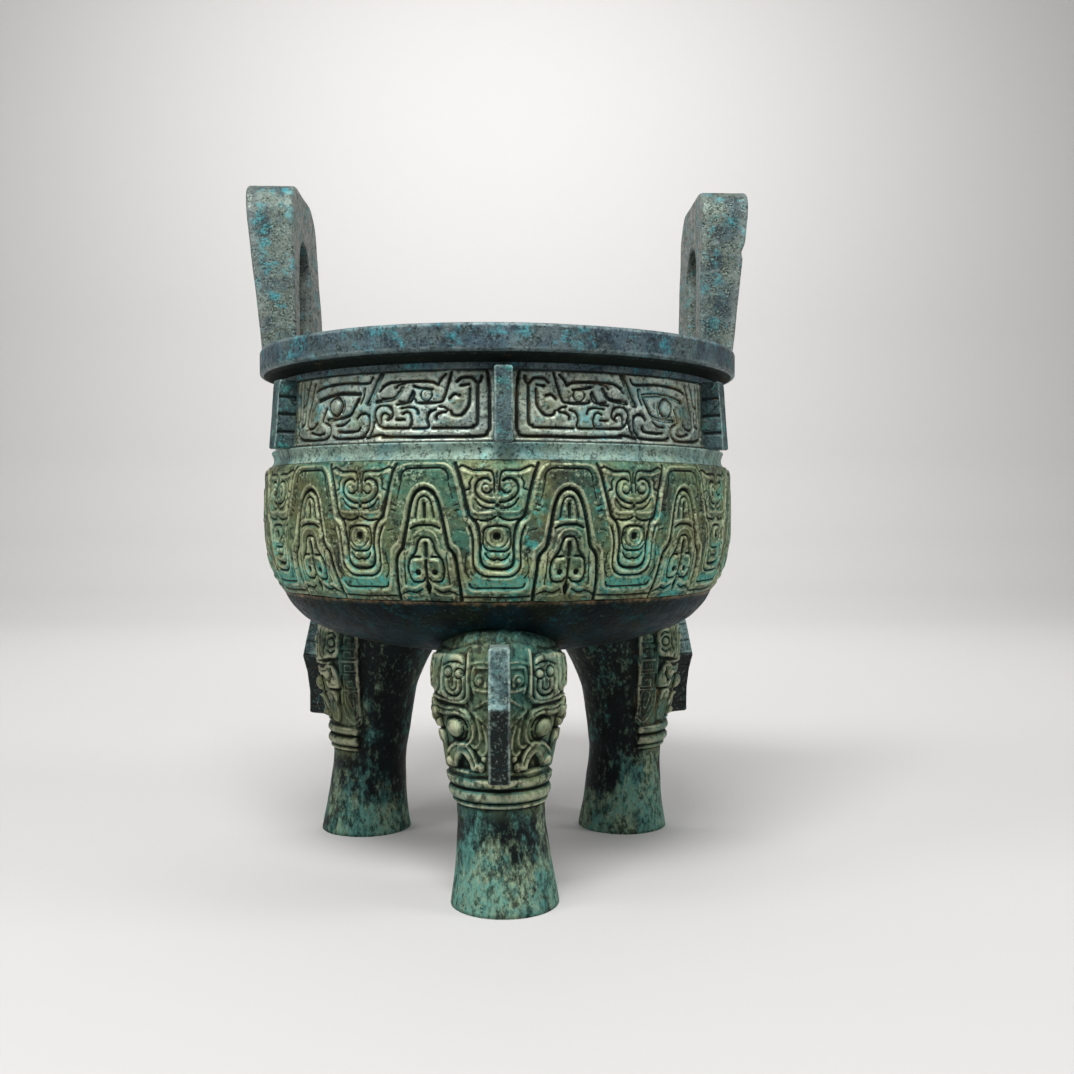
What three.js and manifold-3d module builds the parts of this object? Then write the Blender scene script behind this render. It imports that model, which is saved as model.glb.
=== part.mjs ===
// Bronze ding: a round cauldron on three legs, cast in one piece with its rim, ears, flanges and masks.
// Millimetres, +Z up. The vessel stands on z = 0 with its front leg towards -Y and its ears at -X and +X.

import * as THREE from 'three';
import { mergeVertices } from 'three/addons/utils/BufferGeometryUtils.js';
import Module from 'manifold-3d';

const wasm = await Module();
wasm.setup();

// ---------------------------------------------------------------- driving dimensions

const RIM_RADIUS = 145;
const RIM_TOP = 304;
const RIM_FACE_HEIGHT = 13.5;
const RIM_LIP_RADIUS = 120.5;
const RIM_ROUNDING = 1.6;
const RIM_UNDERCUT_RADIUS = 136;
const RIM_UNDERCUT_DROP = 3.2;

const NECK_RADIUS = 134.2;
const NECK_TOP = 286.5;
const NECK_BOTTOM = 244.4;
const COLLAR_RADIUS = 137.4;
const COLLAR_BOTTOM = 235.7;

const BELLY_RADIUS = 142;
const BELLY_BOTTOM_RADIUS = 133;
const BELLY_BOTTOM = 164;
const LEDGE_STEP = 1.4;
const BOWL_BOTTOM = 124;
const WALL = 5.5;

const BODY_SEGMENTS = 44;
const LEG_SETTING = 2.5;
// Lathed forms start off their neighbours' lines of symmetry, so that no two facets share an edge.
const BODY_START = THREE.MathUtils.degToRad(1.7);
const ROOT_START = THREE.MathUtils.degToRad(7);

const WAVE_COUNT = 12;
const WAVE_LOW = 172.5;
const WAVE_HIGH = 227.5;
const WAVE_WIDTH = 7;
const WAVE_PROUD = 1.1;
const WAVE_SQUARENESS = 1.25;
const WAVE_STEPS = 8;

const NECK_FLANGE_COUNT = 6;
const NECK_FLANGE_THICKNESS = 9.6;
const NECK_FLANGE_BOTTOM = 243.9;
const NECK_FLANGE_TOP = 282.7;
const NECK_FLANGE_TOP_REACH = 143.7;
const NECK_FLANGE_BOTTOM_REACH = 147.2;
const NECK_FLANGE_NOTCHES = [0.25, 0.5, 0.75];
const NECK_NOTCH_HALF_WIDTH = 1.1;
const NECK_NOTCH_DEPTH = 1.4;

const EAR_HALF_WIDTH = 41;
const EAR_CORNER_RADIUS = 20;
const EAR_TOP = { left: 405.5, right: 402.8 };
const EAR_FOOT = 298;
const EAR_HOLE_HALF_WIDTH = 16;
const EAR_HOLE_BOTTOM = 306.5;
const EAR_HOLE_BELOW_TOP = 29.5;
const EAR_EDGE_ROUNDING = 2;
const EAR_INNER_X = 120.5;
const EAR_INNER_LEAN = 2.9;
const EAR_BOW = 3;
const EAR_OUTER_X_FOOT = 137.6;
const EAR_OUTER_X_TOP = 149.3;

const LEG_COUNT = 3;
const LEG_CENTRE = 98;
const LEG_SEGMENTS = 16;
const FOOT_RADIUS = 29;
const ANKLE_RADIUS = 23.8;
const ANKLE_HEIGHT = 48;
const SHOULDER_RADIUS = 33.5;
const SHOULDER_HEIGHT = 120;
const LEG_ROOT_CENTRE = 82;
const LEG_ROOT_RADIUS = 38;
const LEG_ROOT_TOP = 133;
const LEG_ROOT_BOTTOM = 100;

const LEG_FLANGE_THICKNESS = 11.2;
const LEG_FLANGE_REACH = 156.5;
const LEG_FLANGE_TOP = 144;
const LEG_FLANGE_BOTTOM = 71;

const RING_HALF_SPAN = THREE.MathUtils.degToRad(104);
const RING_SEAT = 0.5;
const RING_STEPS = 7;
const RINGS = [
  { low: 62.4, high: 68.8, proud: 2.3 },
  { low: 51.2, high: 60, proud: 2.1 },
];

const MASK_HALF_SPAN = THREE.MathUtils.degToRad(112);
const MASK_LOW = 70.5;
const MASK_HIGH = 136.5;
const MASK_PLATE = 1.4;
const MASK_COLUMNS = 14;
const MASK_ROWS = 7;
// Each mass stands on both cheeks: angle from the flange, height, half-sizes and how far it stands out.
const MASK_MASSES = [
  { name: 'horn', angle: 74, z: 125, halfAngle: 24, halfHeight: 9, proud: 3.6 },
  { name: 'brow', angle: 36, z: 118, halfAngle: 12, halfHeight: 8, proud: 1.8 },
  { name: 'eye', angle: 50, z: 101, halfAngle: 9, halfHeight: 5.5, proud: 3.6 },
  { name: 'ear', angle: 88, z: 101, halfAngle: 13, halfHeight: 8, proud: 3.2 },
  { name: 'cheek', angle: 76, z: 84, halfAngle: 19, halfHeight: 8, proud: 3.4 },
  { name: 'fang', angle: 40, z: 79, halfAngle: 16, halfHeight: 6, proud: 2.4 },
];

const BRONZE = { color: 0x33564a, roughness: 0.55, metalness: 0.7 };

// The footprint box is centred on the origin, so the bowl's axis stands a little behind it.
const AXIS_Y = (LEG_FLANGE_REACH - NECK_FLANGE_BOTTOM_REACH) / 2;

// ---------------------------------------------------------------- solids and joins

/** Turns a closed geometry into a solid that can be joined and cut. */
function solidOf(geometry) {
  const bare = new THREE.BufferGeometry();
  bare.setAttribute('position', geometry.getAttribute('position'));
  if (geometry.index) bare.setIndex(geometry.index);
  const merged = mergeVertices(bare, 1e-3);
  const mesh = new wasm.Mesh({
    numProp: 3,
    vertProperties: new Float32Array(merged.getAttribute('position').array),
    triVerts: new Uint32Array(merged.index.array),
  });
  return new wasm.Manifold(mesh);
}

/** Turns a solid back into a geometry with flat-faced normals. */
function geometryOf(solid) {
  const mesh = solid.getMesh();
  const geometry = new THREE.BufferGeometry();
  geometry.setAttribute('position', new THREE.BufferAttribute(new Float32Array(mesh.vertProperties), 3));
  geometry.setIndex(new THREE.BufferAttribute(new Uint32Array(mesh.triVerts), 1));
  geometry.computeVertexNormals();
  return geometry;
}

/** Joins loops of points into one closed skin: as a ring if looped, and otherwise with a fan over each end. */
function loft(loops, looped = false) {
  const size = loops[0].length;
  const points = loops.flat();
  const faces = [];
  const spans = looped ? loops.length : loops.length - 1;
  for (let i = 0; i < spans; i++) {
    const here = i * size;
    const next = ((i + 1) % loops.length) * size;
    for (let j = 0; j < size; j++) {
      const k = (j + 1) % size;
      faces.push(here + j, here + k, next + k, here + j, next + k, next + j);
    }
  }
  if (!looped) {
    [[0, true], [loops.length - 1, false]].forEach(([end, first]) => {
      const centre = new THREE.Vector3();
      loops[end].forEach((p) => centre.addScaledVector(p, 1 / size));
      const hub = points.push(centre) - 1;
      for (let j = 0; j < size; j++) {
        const a = end * size + j;
        const b = end * size + ((j + 1) % size);
        faces.push(...(first ? [hub, b, a] : [hub, a, b]));
      }
    });
  }
  const geometry = new THREE.BufferGeometry().setFromPoints(points);
  geometry.setIndex(faces);
  return geometry;
}

/** A point on the bowl at an angle from the front, a radius and a height. */
function aroundBowl(angle, radius, z) {
  return new THREE.Vector3(Math.sin(angle) * radius, -Math.cos(angle) * radius, z);
}

/** Turns a lathe, which spins about Y, to stand on its foot. */
function latheUp(profile, segments, start = 0) {
  return new THREE.LatheGeometry(profile, segments, start).rotateX(Math.PI / 2);
}

function profileOf(pairs) {
  return pairs.map(([radius, z]) => new THREE.Vector2(radius, z));
}

/** The radius of a profile of [radius, z] pairs at a height, with z rising along the list. */
function radiusAt(pairs, z) {
  const above = pairs.findIndex((pair) => pair[1] >= z);
  if (above <= 0) return above < 0 ? pairs.at(-1)[0] : pairs[0][0];
  const [[lowRadius, low], [highRadius, high]] = [pairs[above - 1], pairs[above]];
  return THREE.MathUtils.lerp(lowRadius, highRadius, (z - low) / (high - low));
}

// ---------------------------------------------------------------- bowl

/** Points along a smooth curve through [radius, z] pairs. */
function curveThrough(pairs, steps) {
  return new THREE.SplineCurve(profileOf(pairs)).getPoints(steps).map((p) => [p.x, p.y]);
}

const bellyProfile = curveThrough([
  [BELLY_BOTTOM_RADIUS, BELLY_BOTTOM],
  [BELLY_RADIUS - 4.4, BELLY_BOTTOM + 10],
  [BELLY_RADIUS - 0.6, BELLY_BOTTOM + 24],
  [BELLY_RADIUS, BELLY_BOTTOM + 40],
  [BELLY_RADIUS - 0.4, BELLY_BOTTOM + 62],
  [BELLY_RADIUS - 3, COLLAR_BOTTOM - 0.6],
], 6);

const underside = curveThrough([
  [0, BOWL_BOTTOM],
  [60, BOWL_BOTTOM + 4.5],
  [96, BOWL_BOTTOM + 12],
  [BELLY_BOTTOM_RADIUS - 13.4, BELLY_BOTTOM - 16],
  [BELLY_BOTTOM_RADIUS - LEDGE_STEP, BELLY_BOTTOM],
], 6);

const neckAndRim = [
  [COLLAR_RADIUS, COLLAR_BOTTOM],
  [COLLAR_RADIUS, NECK_BOTTOM],
  [NECK_RADIUS + 1.6, NECK_BOTTOM + 1.5],
  [NECK_RADIUS, NECK_TOP],
  [RIM_UNDERCUT_RADIUS, RIM_TOP - RIM_FACE_HEIGHT - RIM_UNDERCUT_DROP],
  [RIM_RADIUS, RIM_TOP - RIM_FACE_HEIGHT],
  [RIM_RADIUS, RIM_TOP - RIM_ROUNDING],
  [RIM_RADIUS - RIM_ROUNDING, RIM_TOP],
  [RIM_LIP_RADIUS + RIM_ROUNDING, RIM_TOP],
  [RIM_LIP_RADIUS, RIM_TOP - RIM_ROUNDING],
];

const inside = [
  [RIM_LIP_RADIUS, RIM_TOP - 4],
  [NECK_RADIUS - WALL, NECK_TOP],
  [NECK_RADIUS - WALL, NECK_BOTTOM],
  [BELLY_RADIUS - WALL, BELLY_BOTTOM + 56],
  [BELLY_RADIUS - WALL - 1, BELLY_BOTTOM + 28],
  [BELLY_BOTTOM_RADIUS - WALL, BELLY_BOTTOM + 1],
  [BELLY_BOTTOM_RADIUS - WALL - 17, BELLY_BOTTOM - 12],
  [72, BOWL_BOTTOM + WALL + 6.5],
  [0, BOWL_BOTTOM + WALL],
];

function makeBowl() {
  return solidOf(latheUp(profileOf([...underside, ...bellyProfile, ...neckAndRim, ...inside]), BODY_SEGMENTS, BODY_START));
}

/** What the bowl encloses and the inner part of its wall, which the legs stop short of. */
function makeHollow() {
  const grown = inside.map(([radius, z]) => [radius ? radius + LEG_SETTING : 0, z - LEG_SETTING]);
  return solidOf(latheUp(profileOf([[0, RIM_TOP], ...grown].reverse()), BODY_SEGMENTS, BODY_START));
}

/** The raised wave that runs round the belly: a ribbon on the surface, squarer than a sine. */
function makeWave() {
  const pitch = (2 * Math.PI * BELLY_RADIUS) / WAVE_COUNT;
  const middle = (WAVE_LOW + WAVE_HIGH) / 2;
  const swing = (WAVE_HIGH - WAVE_LOW) / 2;
  const square = Math.tanh(WAVE_SQUARENESS);
  const waveAt = (s) => middle - (swing * Math.tanh(WAVE_SQUARENESS * Math.cos((2 * Math.PI * s) / pitch))) / square;
  const loops = [];
  const count = WAVE_COUNT * WAVE_STEPS;
  for (let i = 0; i < count; i++) {
    const s = (i * pitch) / WAVE_STEPS;
    const slope = (waveAt(s + 0.01) - waveAt(s - 0.01)) / 0.02;
    const half = WAVE_WIDTH / 2 / Math.hypot(1, slope);
    const edge = (side, depth) => {
      const z = waveAt(s) + side * half;
      const angle = (s - side * half * slope) / BELLY_RADIUS;
      return aroundBowl(angle, radiusAt(bellyProfile, z) + depth, z);
    };
    loops.push([edge(-1, -2), edge(1, -2), edge(1, WAVE_PROUD), edge(-1, WAVE_PROUD)]);
  }
  return solidOf(loft(loops, true));
}

// ---------------------------------------------------------------- neck flanges

/** One upright flange on the neck, at the front, with three grooves across its sides. */
function makeNeckFlange() {
  const height = NECK_FLANGE_TOP - NECK_FLANGE_BOTTOM;
  const half = NECK_FLANGE_THICKNESS / 2;
  const side = [[0, 0]];
  NECK_FLANGE_NOTCHES.forEach((share) => {
    const z = share * height;
    side.push([z - NECK_NOTCH_HALF_WIDTH, 0], [z, NECK_NOTCH_DEPTH], [z + NECK_NOTCH_HALF_WIDTH, 0]);
  });
  side.push([height, 0]);
  const outline = new THREE.Shape();
  outline.moveTo(-half, 0);
  [...side].slice(1).forEach(([z, cut]) => outline.lineTo(-half + cut, z));
  [...side].reverse().forEach(([z, cut]) => outline.lineTo(half - cut, z));
  const root = NECK_RADIUS - 3;
  const geometry = new THREE.ExtrudeGeometry(outline, { depth: 1, bevelEnabled: false });
  const at = geometry.getAttribute('position');
  for (let i = 0; i < at.count; i++) {
    const [x, z, out] = [at.getX(i), at.getY(i), at.getZ(i)];
    const reach = THREE.MathUtils.lerp(NECK_FLANGE_BOTTOM_REACH, NECK_FLANGE_TOP_REACH, z / height);
    at.setXYZ(i, x, -(out ? reach : root), NECK_FLANGE_BOTTOM + z);
  }
  return solidOf(geometry);
}

// ---------------------------------------------------------------- ears

/** The left ear: an upright with an arched hole, leaning out and thickening to its top. */
function makeEar(top, side) {
  const outline = new THREE.Shape();
  outline.moveTo(-EAR_HALF_WIDTH, EAR_FOOT);
  outline.lineTo(EAR_HALF_WIDTH, EAR_FOOT);
  outline.lineTo(EAR_HALF_WIDTH, top - EAR_CORNER_RADIUS);
  outline.absarc(EAR_HALF_WIDTH - EAR_CORNER_RADIUS, top - EAR_CORNER_RADIUS, EAR_CORNER_RADIUS, 0, Math.PI / 2);
  outline.lineTo(-EAR_HALF_WIDTH + EAR_CORNER_RADIUS, top);
  outline.absarc(-EAR_HALF_WIDTH + EAR_CORNER_RADIUS, top - EAR_CORNER_RADIUS, EAR_CORNER_RADIUS,
    Math.PI / 2, Math.PI);
  outline.lineTo(-EAR_HALF_WIDTH, EAR_FOOT);

  const holeTop = top - EAR_HOLE_BELOW_TOP;
  const hole = new THREE.Path();
  hole.moveTo(-EAR_HOLE_HALF_WIDTH, EAR_HOLE_BOTTOM);
  hole.lineTo(-EAR_HOLE_HALF_WIDTH, holeTop - EAR_HOLE_HALF_WIDTH);
  hole.absarc(0, holeTop - EAR_HOLE_HALF_WIDTH, EAR_HOLE_HALF_WIDTH, Math.PI, 0, true);
  hole.lineTo(EAR_HOLE_HALF_WIDTH, EAR_HOLE_BOTTOM);
  hole.closePath();
  outline.holes.push(hole);

  const nominal = 24;
  const geometry = new THREE.ExtrudeGeometry(outline, {
    depth: nominal - 2 * EAR_EDGE_ROUNDING,
    bevelThickness: EAR_EDGE_ROUNDING,
    bevelSize: EAR_EDGE_ROUNDING,
    bevelOffset: -EAR_EDGE_ROUNDING,
    bevelSegments: 1,
    curveSegments: 6,
  });
  const at = geometry.getAttribute('position');
  for (let i = 0; i < at.count; i++) {
    const [y, z, through] = [at.getX(i), at.getY(i), at.getZ(i) + EAR_EDGE_ROUNDING];
    const rise = (z - EAR_FOOT) / (EAR_TOP.left - EAR_FOOT);
    const bow = EAR_BOW * (y / EAR_HALF_WIDTH) ** 2;
    const inner = EAR_INNER_X + EAR_INNER_LEAN * rise - bow;
    const outer = THREE.MathUtils.lerp(EAR_OUTER_X_FOOT, EAR_OUTER_X_TOP, rise);
    const share = THREE.MathUtils.clamp(
      (through - EAR_EDGE_ROUNDING) / (nominal - 2 * EAR_EDGE_ROUNDING), 0, 1);
    const rounding = through - THREE.MathUtils.clamp(through, EAR_EDGE_ROUNDING, nominal - EAR_EDGE_ROUNDING);
    const x = THREE.MathUtils.lerp(inner + EAR_EDGE_ROUNDING, outer - EAR_EDGE_ROUNDING, share) + rounding;
    at.setXYZ(i, side * x, side * y, z);
  }
  return solidOf(geometry);
}

// ---------------------------------------------------------------- legs

const shaftProfile = [
  [FOOT_RADIUS, 0],
  ...curveThrough([
    [FOOT_RADIUS, 0.8],
    [FOOT_RADIUS - 1.8, 11.5],
    [FOOT_RADIUS - 3.8, 25],
    [ANKLE_RADIUS, ANKLE_HEIGHT],
    [ANKLE_RADIUS + 3, ANKLE_HEIGHT + 27],
    [ANKLE_RADIUS + 7.6, ANKLE_HEIGHT + 52],
    [SHOULDER_RADIUS, SHOULDER_HEIGHT],
    [SHOULDER_RADIUS - 1.5, SHOULDER_HEIGHT + 13],
    [SHOULDER_RADIUS - 6, SHOULDER_HEIGHT + 23],
    [SHOULDER_RADIUS - 13, SHOULDER_HEIGHT + 30],
  ], 9),
];

/** A ring of points round the leg's own axis; angle 0 faces away from the bowl's axis. */
function aroundLeg(angle, radius, z) {
  return new THREE.Vector3(Math.sin(angle) * radius, -LEG_CENTRE - Math.cos(angle) * radius, z);
}

function makeShaft() {
  const profile = [[0, 0], ...shaftProfile, [0, SHOULDER_HEIGHT + 32]];
  return solidOf(latheUp(profileOf(profile), LEG_SEGMENTS).translate(0, -LEG_CENTRE, 0));
}

/** The inner flare that carries the leg into the bowl's underside. */
function makeRoot() {
  const rise = LEG_ROOT_TOP - LEG_ROOT_BOTTOM;
  const flare = [0.3, 0.5, 0.63, 0.8, 1].map((share, i) => [LEG_ROOT_RADIUS * share, LEG_ROOT_BOTTOM + (rise * i) / 4]);
  const profile = [[0, LEG_ROOT_BOTTOM], ...flare, [LEG_ROOT_RADIUS, LEG_ROOT_TOP + 4], [0, LEG_ROOT_TOP + 4]];
  return solidOf(latheUp(profileOf(profile), LEG_SEGMENTS, ROOT_START).translate(0, -LEG_ROOT_CENTRE, 0));
}

/** The thick radial flange that is the mask's nose: it leans out to a corner, then drops to a square foot. */
function makeLegFlange() {
  const root = LEG_CENTRE + ANKLE_RADIUS - 4;
  const corner = LEG_FLANGE_REACH;
  const outline = new THREE.Shape(profileOf([
    [root, LEG_FLANGE_TOP],
    [root, LEG_FLANGE_BOTTOM - 2],
    [corner - 23, LEG_FLANGE_BOTTOM - 1.5],
    [corner - 15, LEG_FLANGE_BOTTOM + 1.5],
    [corner - 5.7, LEG_FLANGE_BOTTOM + 1.5],
    [corner - 5.7, LEG_FLANGE_BOTTOM + 16],
    [corner - 3.6, LEG_FLANGE_BOTTOM + 29],
    [corner, LEG_FLANGE_BOTTOM + 39.5],
    [corner - 6.5, LEG_FLANGE_TOP - 10],
    [corner - 8.5, LEG_FLANGE_TOP],
  ]));
  const geometry = new THREE.ExtrudeGeometry(outline, { depth: LEG_FLANGE_THICKNESS, bevelEnabled: false });
  geometry.translate(0, 0, -LEG_FLANGE_THICKNESS / 2);
  const toFront = new THREE.Matrix4().makeBasis(
    new THREE.Vector3(0, -1, 0), new THREE.Vector3(0, 0, 1), new THREE.Vector3(-1, 0, 0));
  return solidOf(geometry.applyMatrix4(toFront));
}

/** How far the mask stands out from the leg at an angle from the flange and a height. */
function maskProud(angle, z) {
  const side = Math.abs(THREE.MathUtils.radToDeg(angle));
  const masses = MASK_MASSES.map((mass) => {
    const away = Math.hypot((side - mass.angle) / mass.halfAngle, (z - mass.z) / mass.halfHeight);
    return away < 1 ? mass.proud * Math.sqrt(1 - away * away) : 0;
  });
  return MASK_PLATE + Math.max(...masses);
}

/** The mask wrapped round the outer side of the leg, as one plate with its masses standing out of it. */
function makeMask() {
  const loops = [];
  for (let i = 0; i <= MASK_COLUMNS; i++) {
    const angle = MASK_HALF_SPAN * (1 - (2 * i) / MASK_COLUMNS);
    const heights = Array.from({ length: MASK_ROWS + 1 }, (_, j) =>
      THREE.MathUtils.lerp(MASK_LOW, MASK_HIGH, j / MASK_ROWS));
    const face = heights.map((z) => aroundLeg(angle, radiusAt(shaftProfile, z) + maskProud(angle, z), z));
    const buried = [MASK_HIGH, MASK_LOW].map((z) => aroundLeg(angle, radiusAt(shaftProfile, z) - 3, z));
    loops.push([...face, ...buried]);
  }
  return solidOf(loft(loops));
}

/** A half-round band round the outer side of the ankle. */
function makeRing({ low, high, proud }) {
  const loops = [];
  for (let i = 0; i <= RING_STEPS; i++) {
    const angle = RING_HALF_SPAN * (1 - (2 * i) / RING_STEPS);
    const arc = [0, 0.3, 0.7, 1].map((share) => {
      const z = THREE.MathUtils.lerp(low, high, share);
      return aroundLeg(angle, radiusAt(shaftProfile, z) + (proud + RING_SEAT) * Math.sin(Math.PI * share) - RING_SEAT, z);
    });
    const buried = [high, low].map((z) => aroundLeg(angle, radiusAt(shaftProfile, z) - 2, z));
    loops.push([...arc, ...buried]);
  }
  return solidOf(loft(loops));
}

function makeLeg() {
  return [makeRoot(), makeLegFlange(), makeMask(), ...RINGS.map(makeRing)].reduce(
    (leg, piece) => leg.add(piece), makeShaft());
}

// ---------------------------------------------------------------- the casting

/** Copies of a solid, evenly round the bowl's axis from the front. */
function around(solid, count) {
  return Array.from({ length: count }, (_, i) => solid.rotate([0, 0, (360 * i) / count]));
}

const legs = around(makeLeg(), LEG_COUNT).reduce((all, leg) => all.add(leg)).subtract(makeHollow());
const casting = [
  makeWave(),
  ...around(makeNeckFlange(), NECK_FLANGE_COUNT),
  makeEar(EAR_TOP.left, -1),
  makeEar(EAR_TOP.right, 1),
  legs,
].reduce((all, piece) => all.add(piece), makeBowl());

const vessel = new THREE.Mesh(geometryOf(casting), new THREE.MeshStandardMaterial(BRONZE));
vessel.name = 'ding_vessel';

const ding = new THREE.Group();
ding.position.set(0, AXIS_Y, 0);
ding.add(vessel);
ding.updateMatrixWorld(true);

export default ding;
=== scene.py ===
"""Bronze ding: a round cauldron on three legs, with its cast relief and its old patina.

The sizes are in millimetres round the bowl's own axis, with the front towards -Y, and every
finished mesh is in metres in the row frame.
"""

import logging
import math
from dataclasses import dataclass, field, replace
from enum import Enum
from typing import Iterable, Sequence

import bmesh
import bpy
import numpy as np
from mathutils import Euler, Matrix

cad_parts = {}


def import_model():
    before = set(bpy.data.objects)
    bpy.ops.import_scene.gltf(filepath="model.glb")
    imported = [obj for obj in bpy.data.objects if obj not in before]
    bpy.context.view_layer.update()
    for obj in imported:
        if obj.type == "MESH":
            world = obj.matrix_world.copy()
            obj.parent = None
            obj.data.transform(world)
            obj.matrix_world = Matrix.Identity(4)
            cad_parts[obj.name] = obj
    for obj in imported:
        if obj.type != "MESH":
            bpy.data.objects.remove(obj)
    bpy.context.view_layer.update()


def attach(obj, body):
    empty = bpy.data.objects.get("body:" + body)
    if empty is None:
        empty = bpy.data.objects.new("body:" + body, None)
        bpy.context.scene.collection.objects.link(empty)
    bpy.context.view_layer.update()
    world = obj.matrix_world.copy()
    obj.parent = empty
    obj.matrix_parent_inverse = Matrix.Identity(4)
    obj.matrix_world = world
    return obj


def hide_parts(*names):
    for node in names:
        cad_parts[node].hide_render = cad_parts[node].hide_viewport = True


log = logging.getLogger("ding")

MM = 0.001
AXIS_Y = 4.65
NODE = "ding_vessel"

Point = tuple[float, float]
Line = Sequence[Point]


# ---------------------------------------------------------------- numbers and curves


def smoothstep(low: float, high: float, value: np.ndarray) -> np.ndarray:
    """Eases from 0 at low to 1 at high."""
    share = np.clip((value - low) / (high - low), 0.0, 1.0)
    return share * share * (3.0 - 2.0 * share)


def smooth_line(points: Line, closed: bool = False, step: float = 0.5) -> np.ndarray:
    """Draws a flowing line through points.

    Args:
        points: Where the line passes.
        closed: Whether it returns to its start.
        step: The length of each drawn span.

    Returns:
        The points of the finer line, one row each.
    """
    given = np.asarray(points, float)
    if len(given) < 3 and not closed:
        return given
    if closed:
        padded = np.vstack([given[-1:], given, given[:2]])
    else:
        padded = np.vstack([2 * given[0] - given[1], given, 2 * given[-1] - given[-2]])
    drawn = []
    for a, b, c, d in zip(padded, padded[1:], padded[2:], padded[3:]):
        count = max(1, int(math.ceil(np.linalg.norm(c - b) / step)))
        t = (np.arange(count) / count)[:, None]
        bend = (2 * a - 5 * b + 4 * c - d) * t + (3 * b - a - 3 * c + d) * t * t
        drawn.append(b + 0.5 * t * ((c - a) + bend))
    drawn.append(padded[-2][None, :])
    return np.vstack(drawn)


def along(points: Line, at: np.ndarray) -> np.ndarray:
    """Reads a smooth curve of (value, height) pairs at the given rising heights."""
    curve = smooth_line(points)
    return np.interp(at, curve[:, 1], curve[:, 0])


# ---------------------------------------------------------------- drawn relief


@dataclass(frozen=True)
class Stroke:
    """A raised or cut line of the drawing.

    Args:
        points: The line, as (along, up) in millimetres.
        width: Its full width.
        height: How far it stands up, or below zero how deep it is cut.
        closed: Whether it returns to its start.
    """

    points: Line
    width: float
    height: float
    closed: bool = False


@dataclass(frozen=True)
class Boss:
    """A round knob or a round pit.

    Args:
        centre: Its middle, as (along, up).
        radius: Its radius.
        height: How far it stands up, or below zero how deep it is sunk.
    """

    centre: Point
    radius: float
    height: float


@dataclass(frozen=True)
class Patch:
    """A level area with a rounded edge.

    Args:
        points: Its outline.
        height: The level inside it.
        soft: How wide its sloping edge is.
    """

    points: Line
    height: float
    soft: float = 1.6


Mark = Stroke | Boss | Patch


def groove(*points: Point, width: float = 1.2, depth: float = 1.1) -> Stroke:
    """A cut line through the points."""
    return Stroke(points, width, -depth)


def ridge(*points: Point, width: float = 1.2, height: float = 0.5) -> Stroke:
    """A raised line through the points."""
    return Stroke(points, width, height)


def ring(centre: Point, radius: float, width: float, height: float) -> Stroke:
    """A round raised or cut line about a centre."""
    turns = np.linspace(0.0, 2.0 * math.pi, 13)[:-1]
    points = [(centre[0] + radius * math.cos(a), centre[1] + radius * math.sin(a)) for a in turns]
    return Stroke(points, width, height, True)


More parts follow.
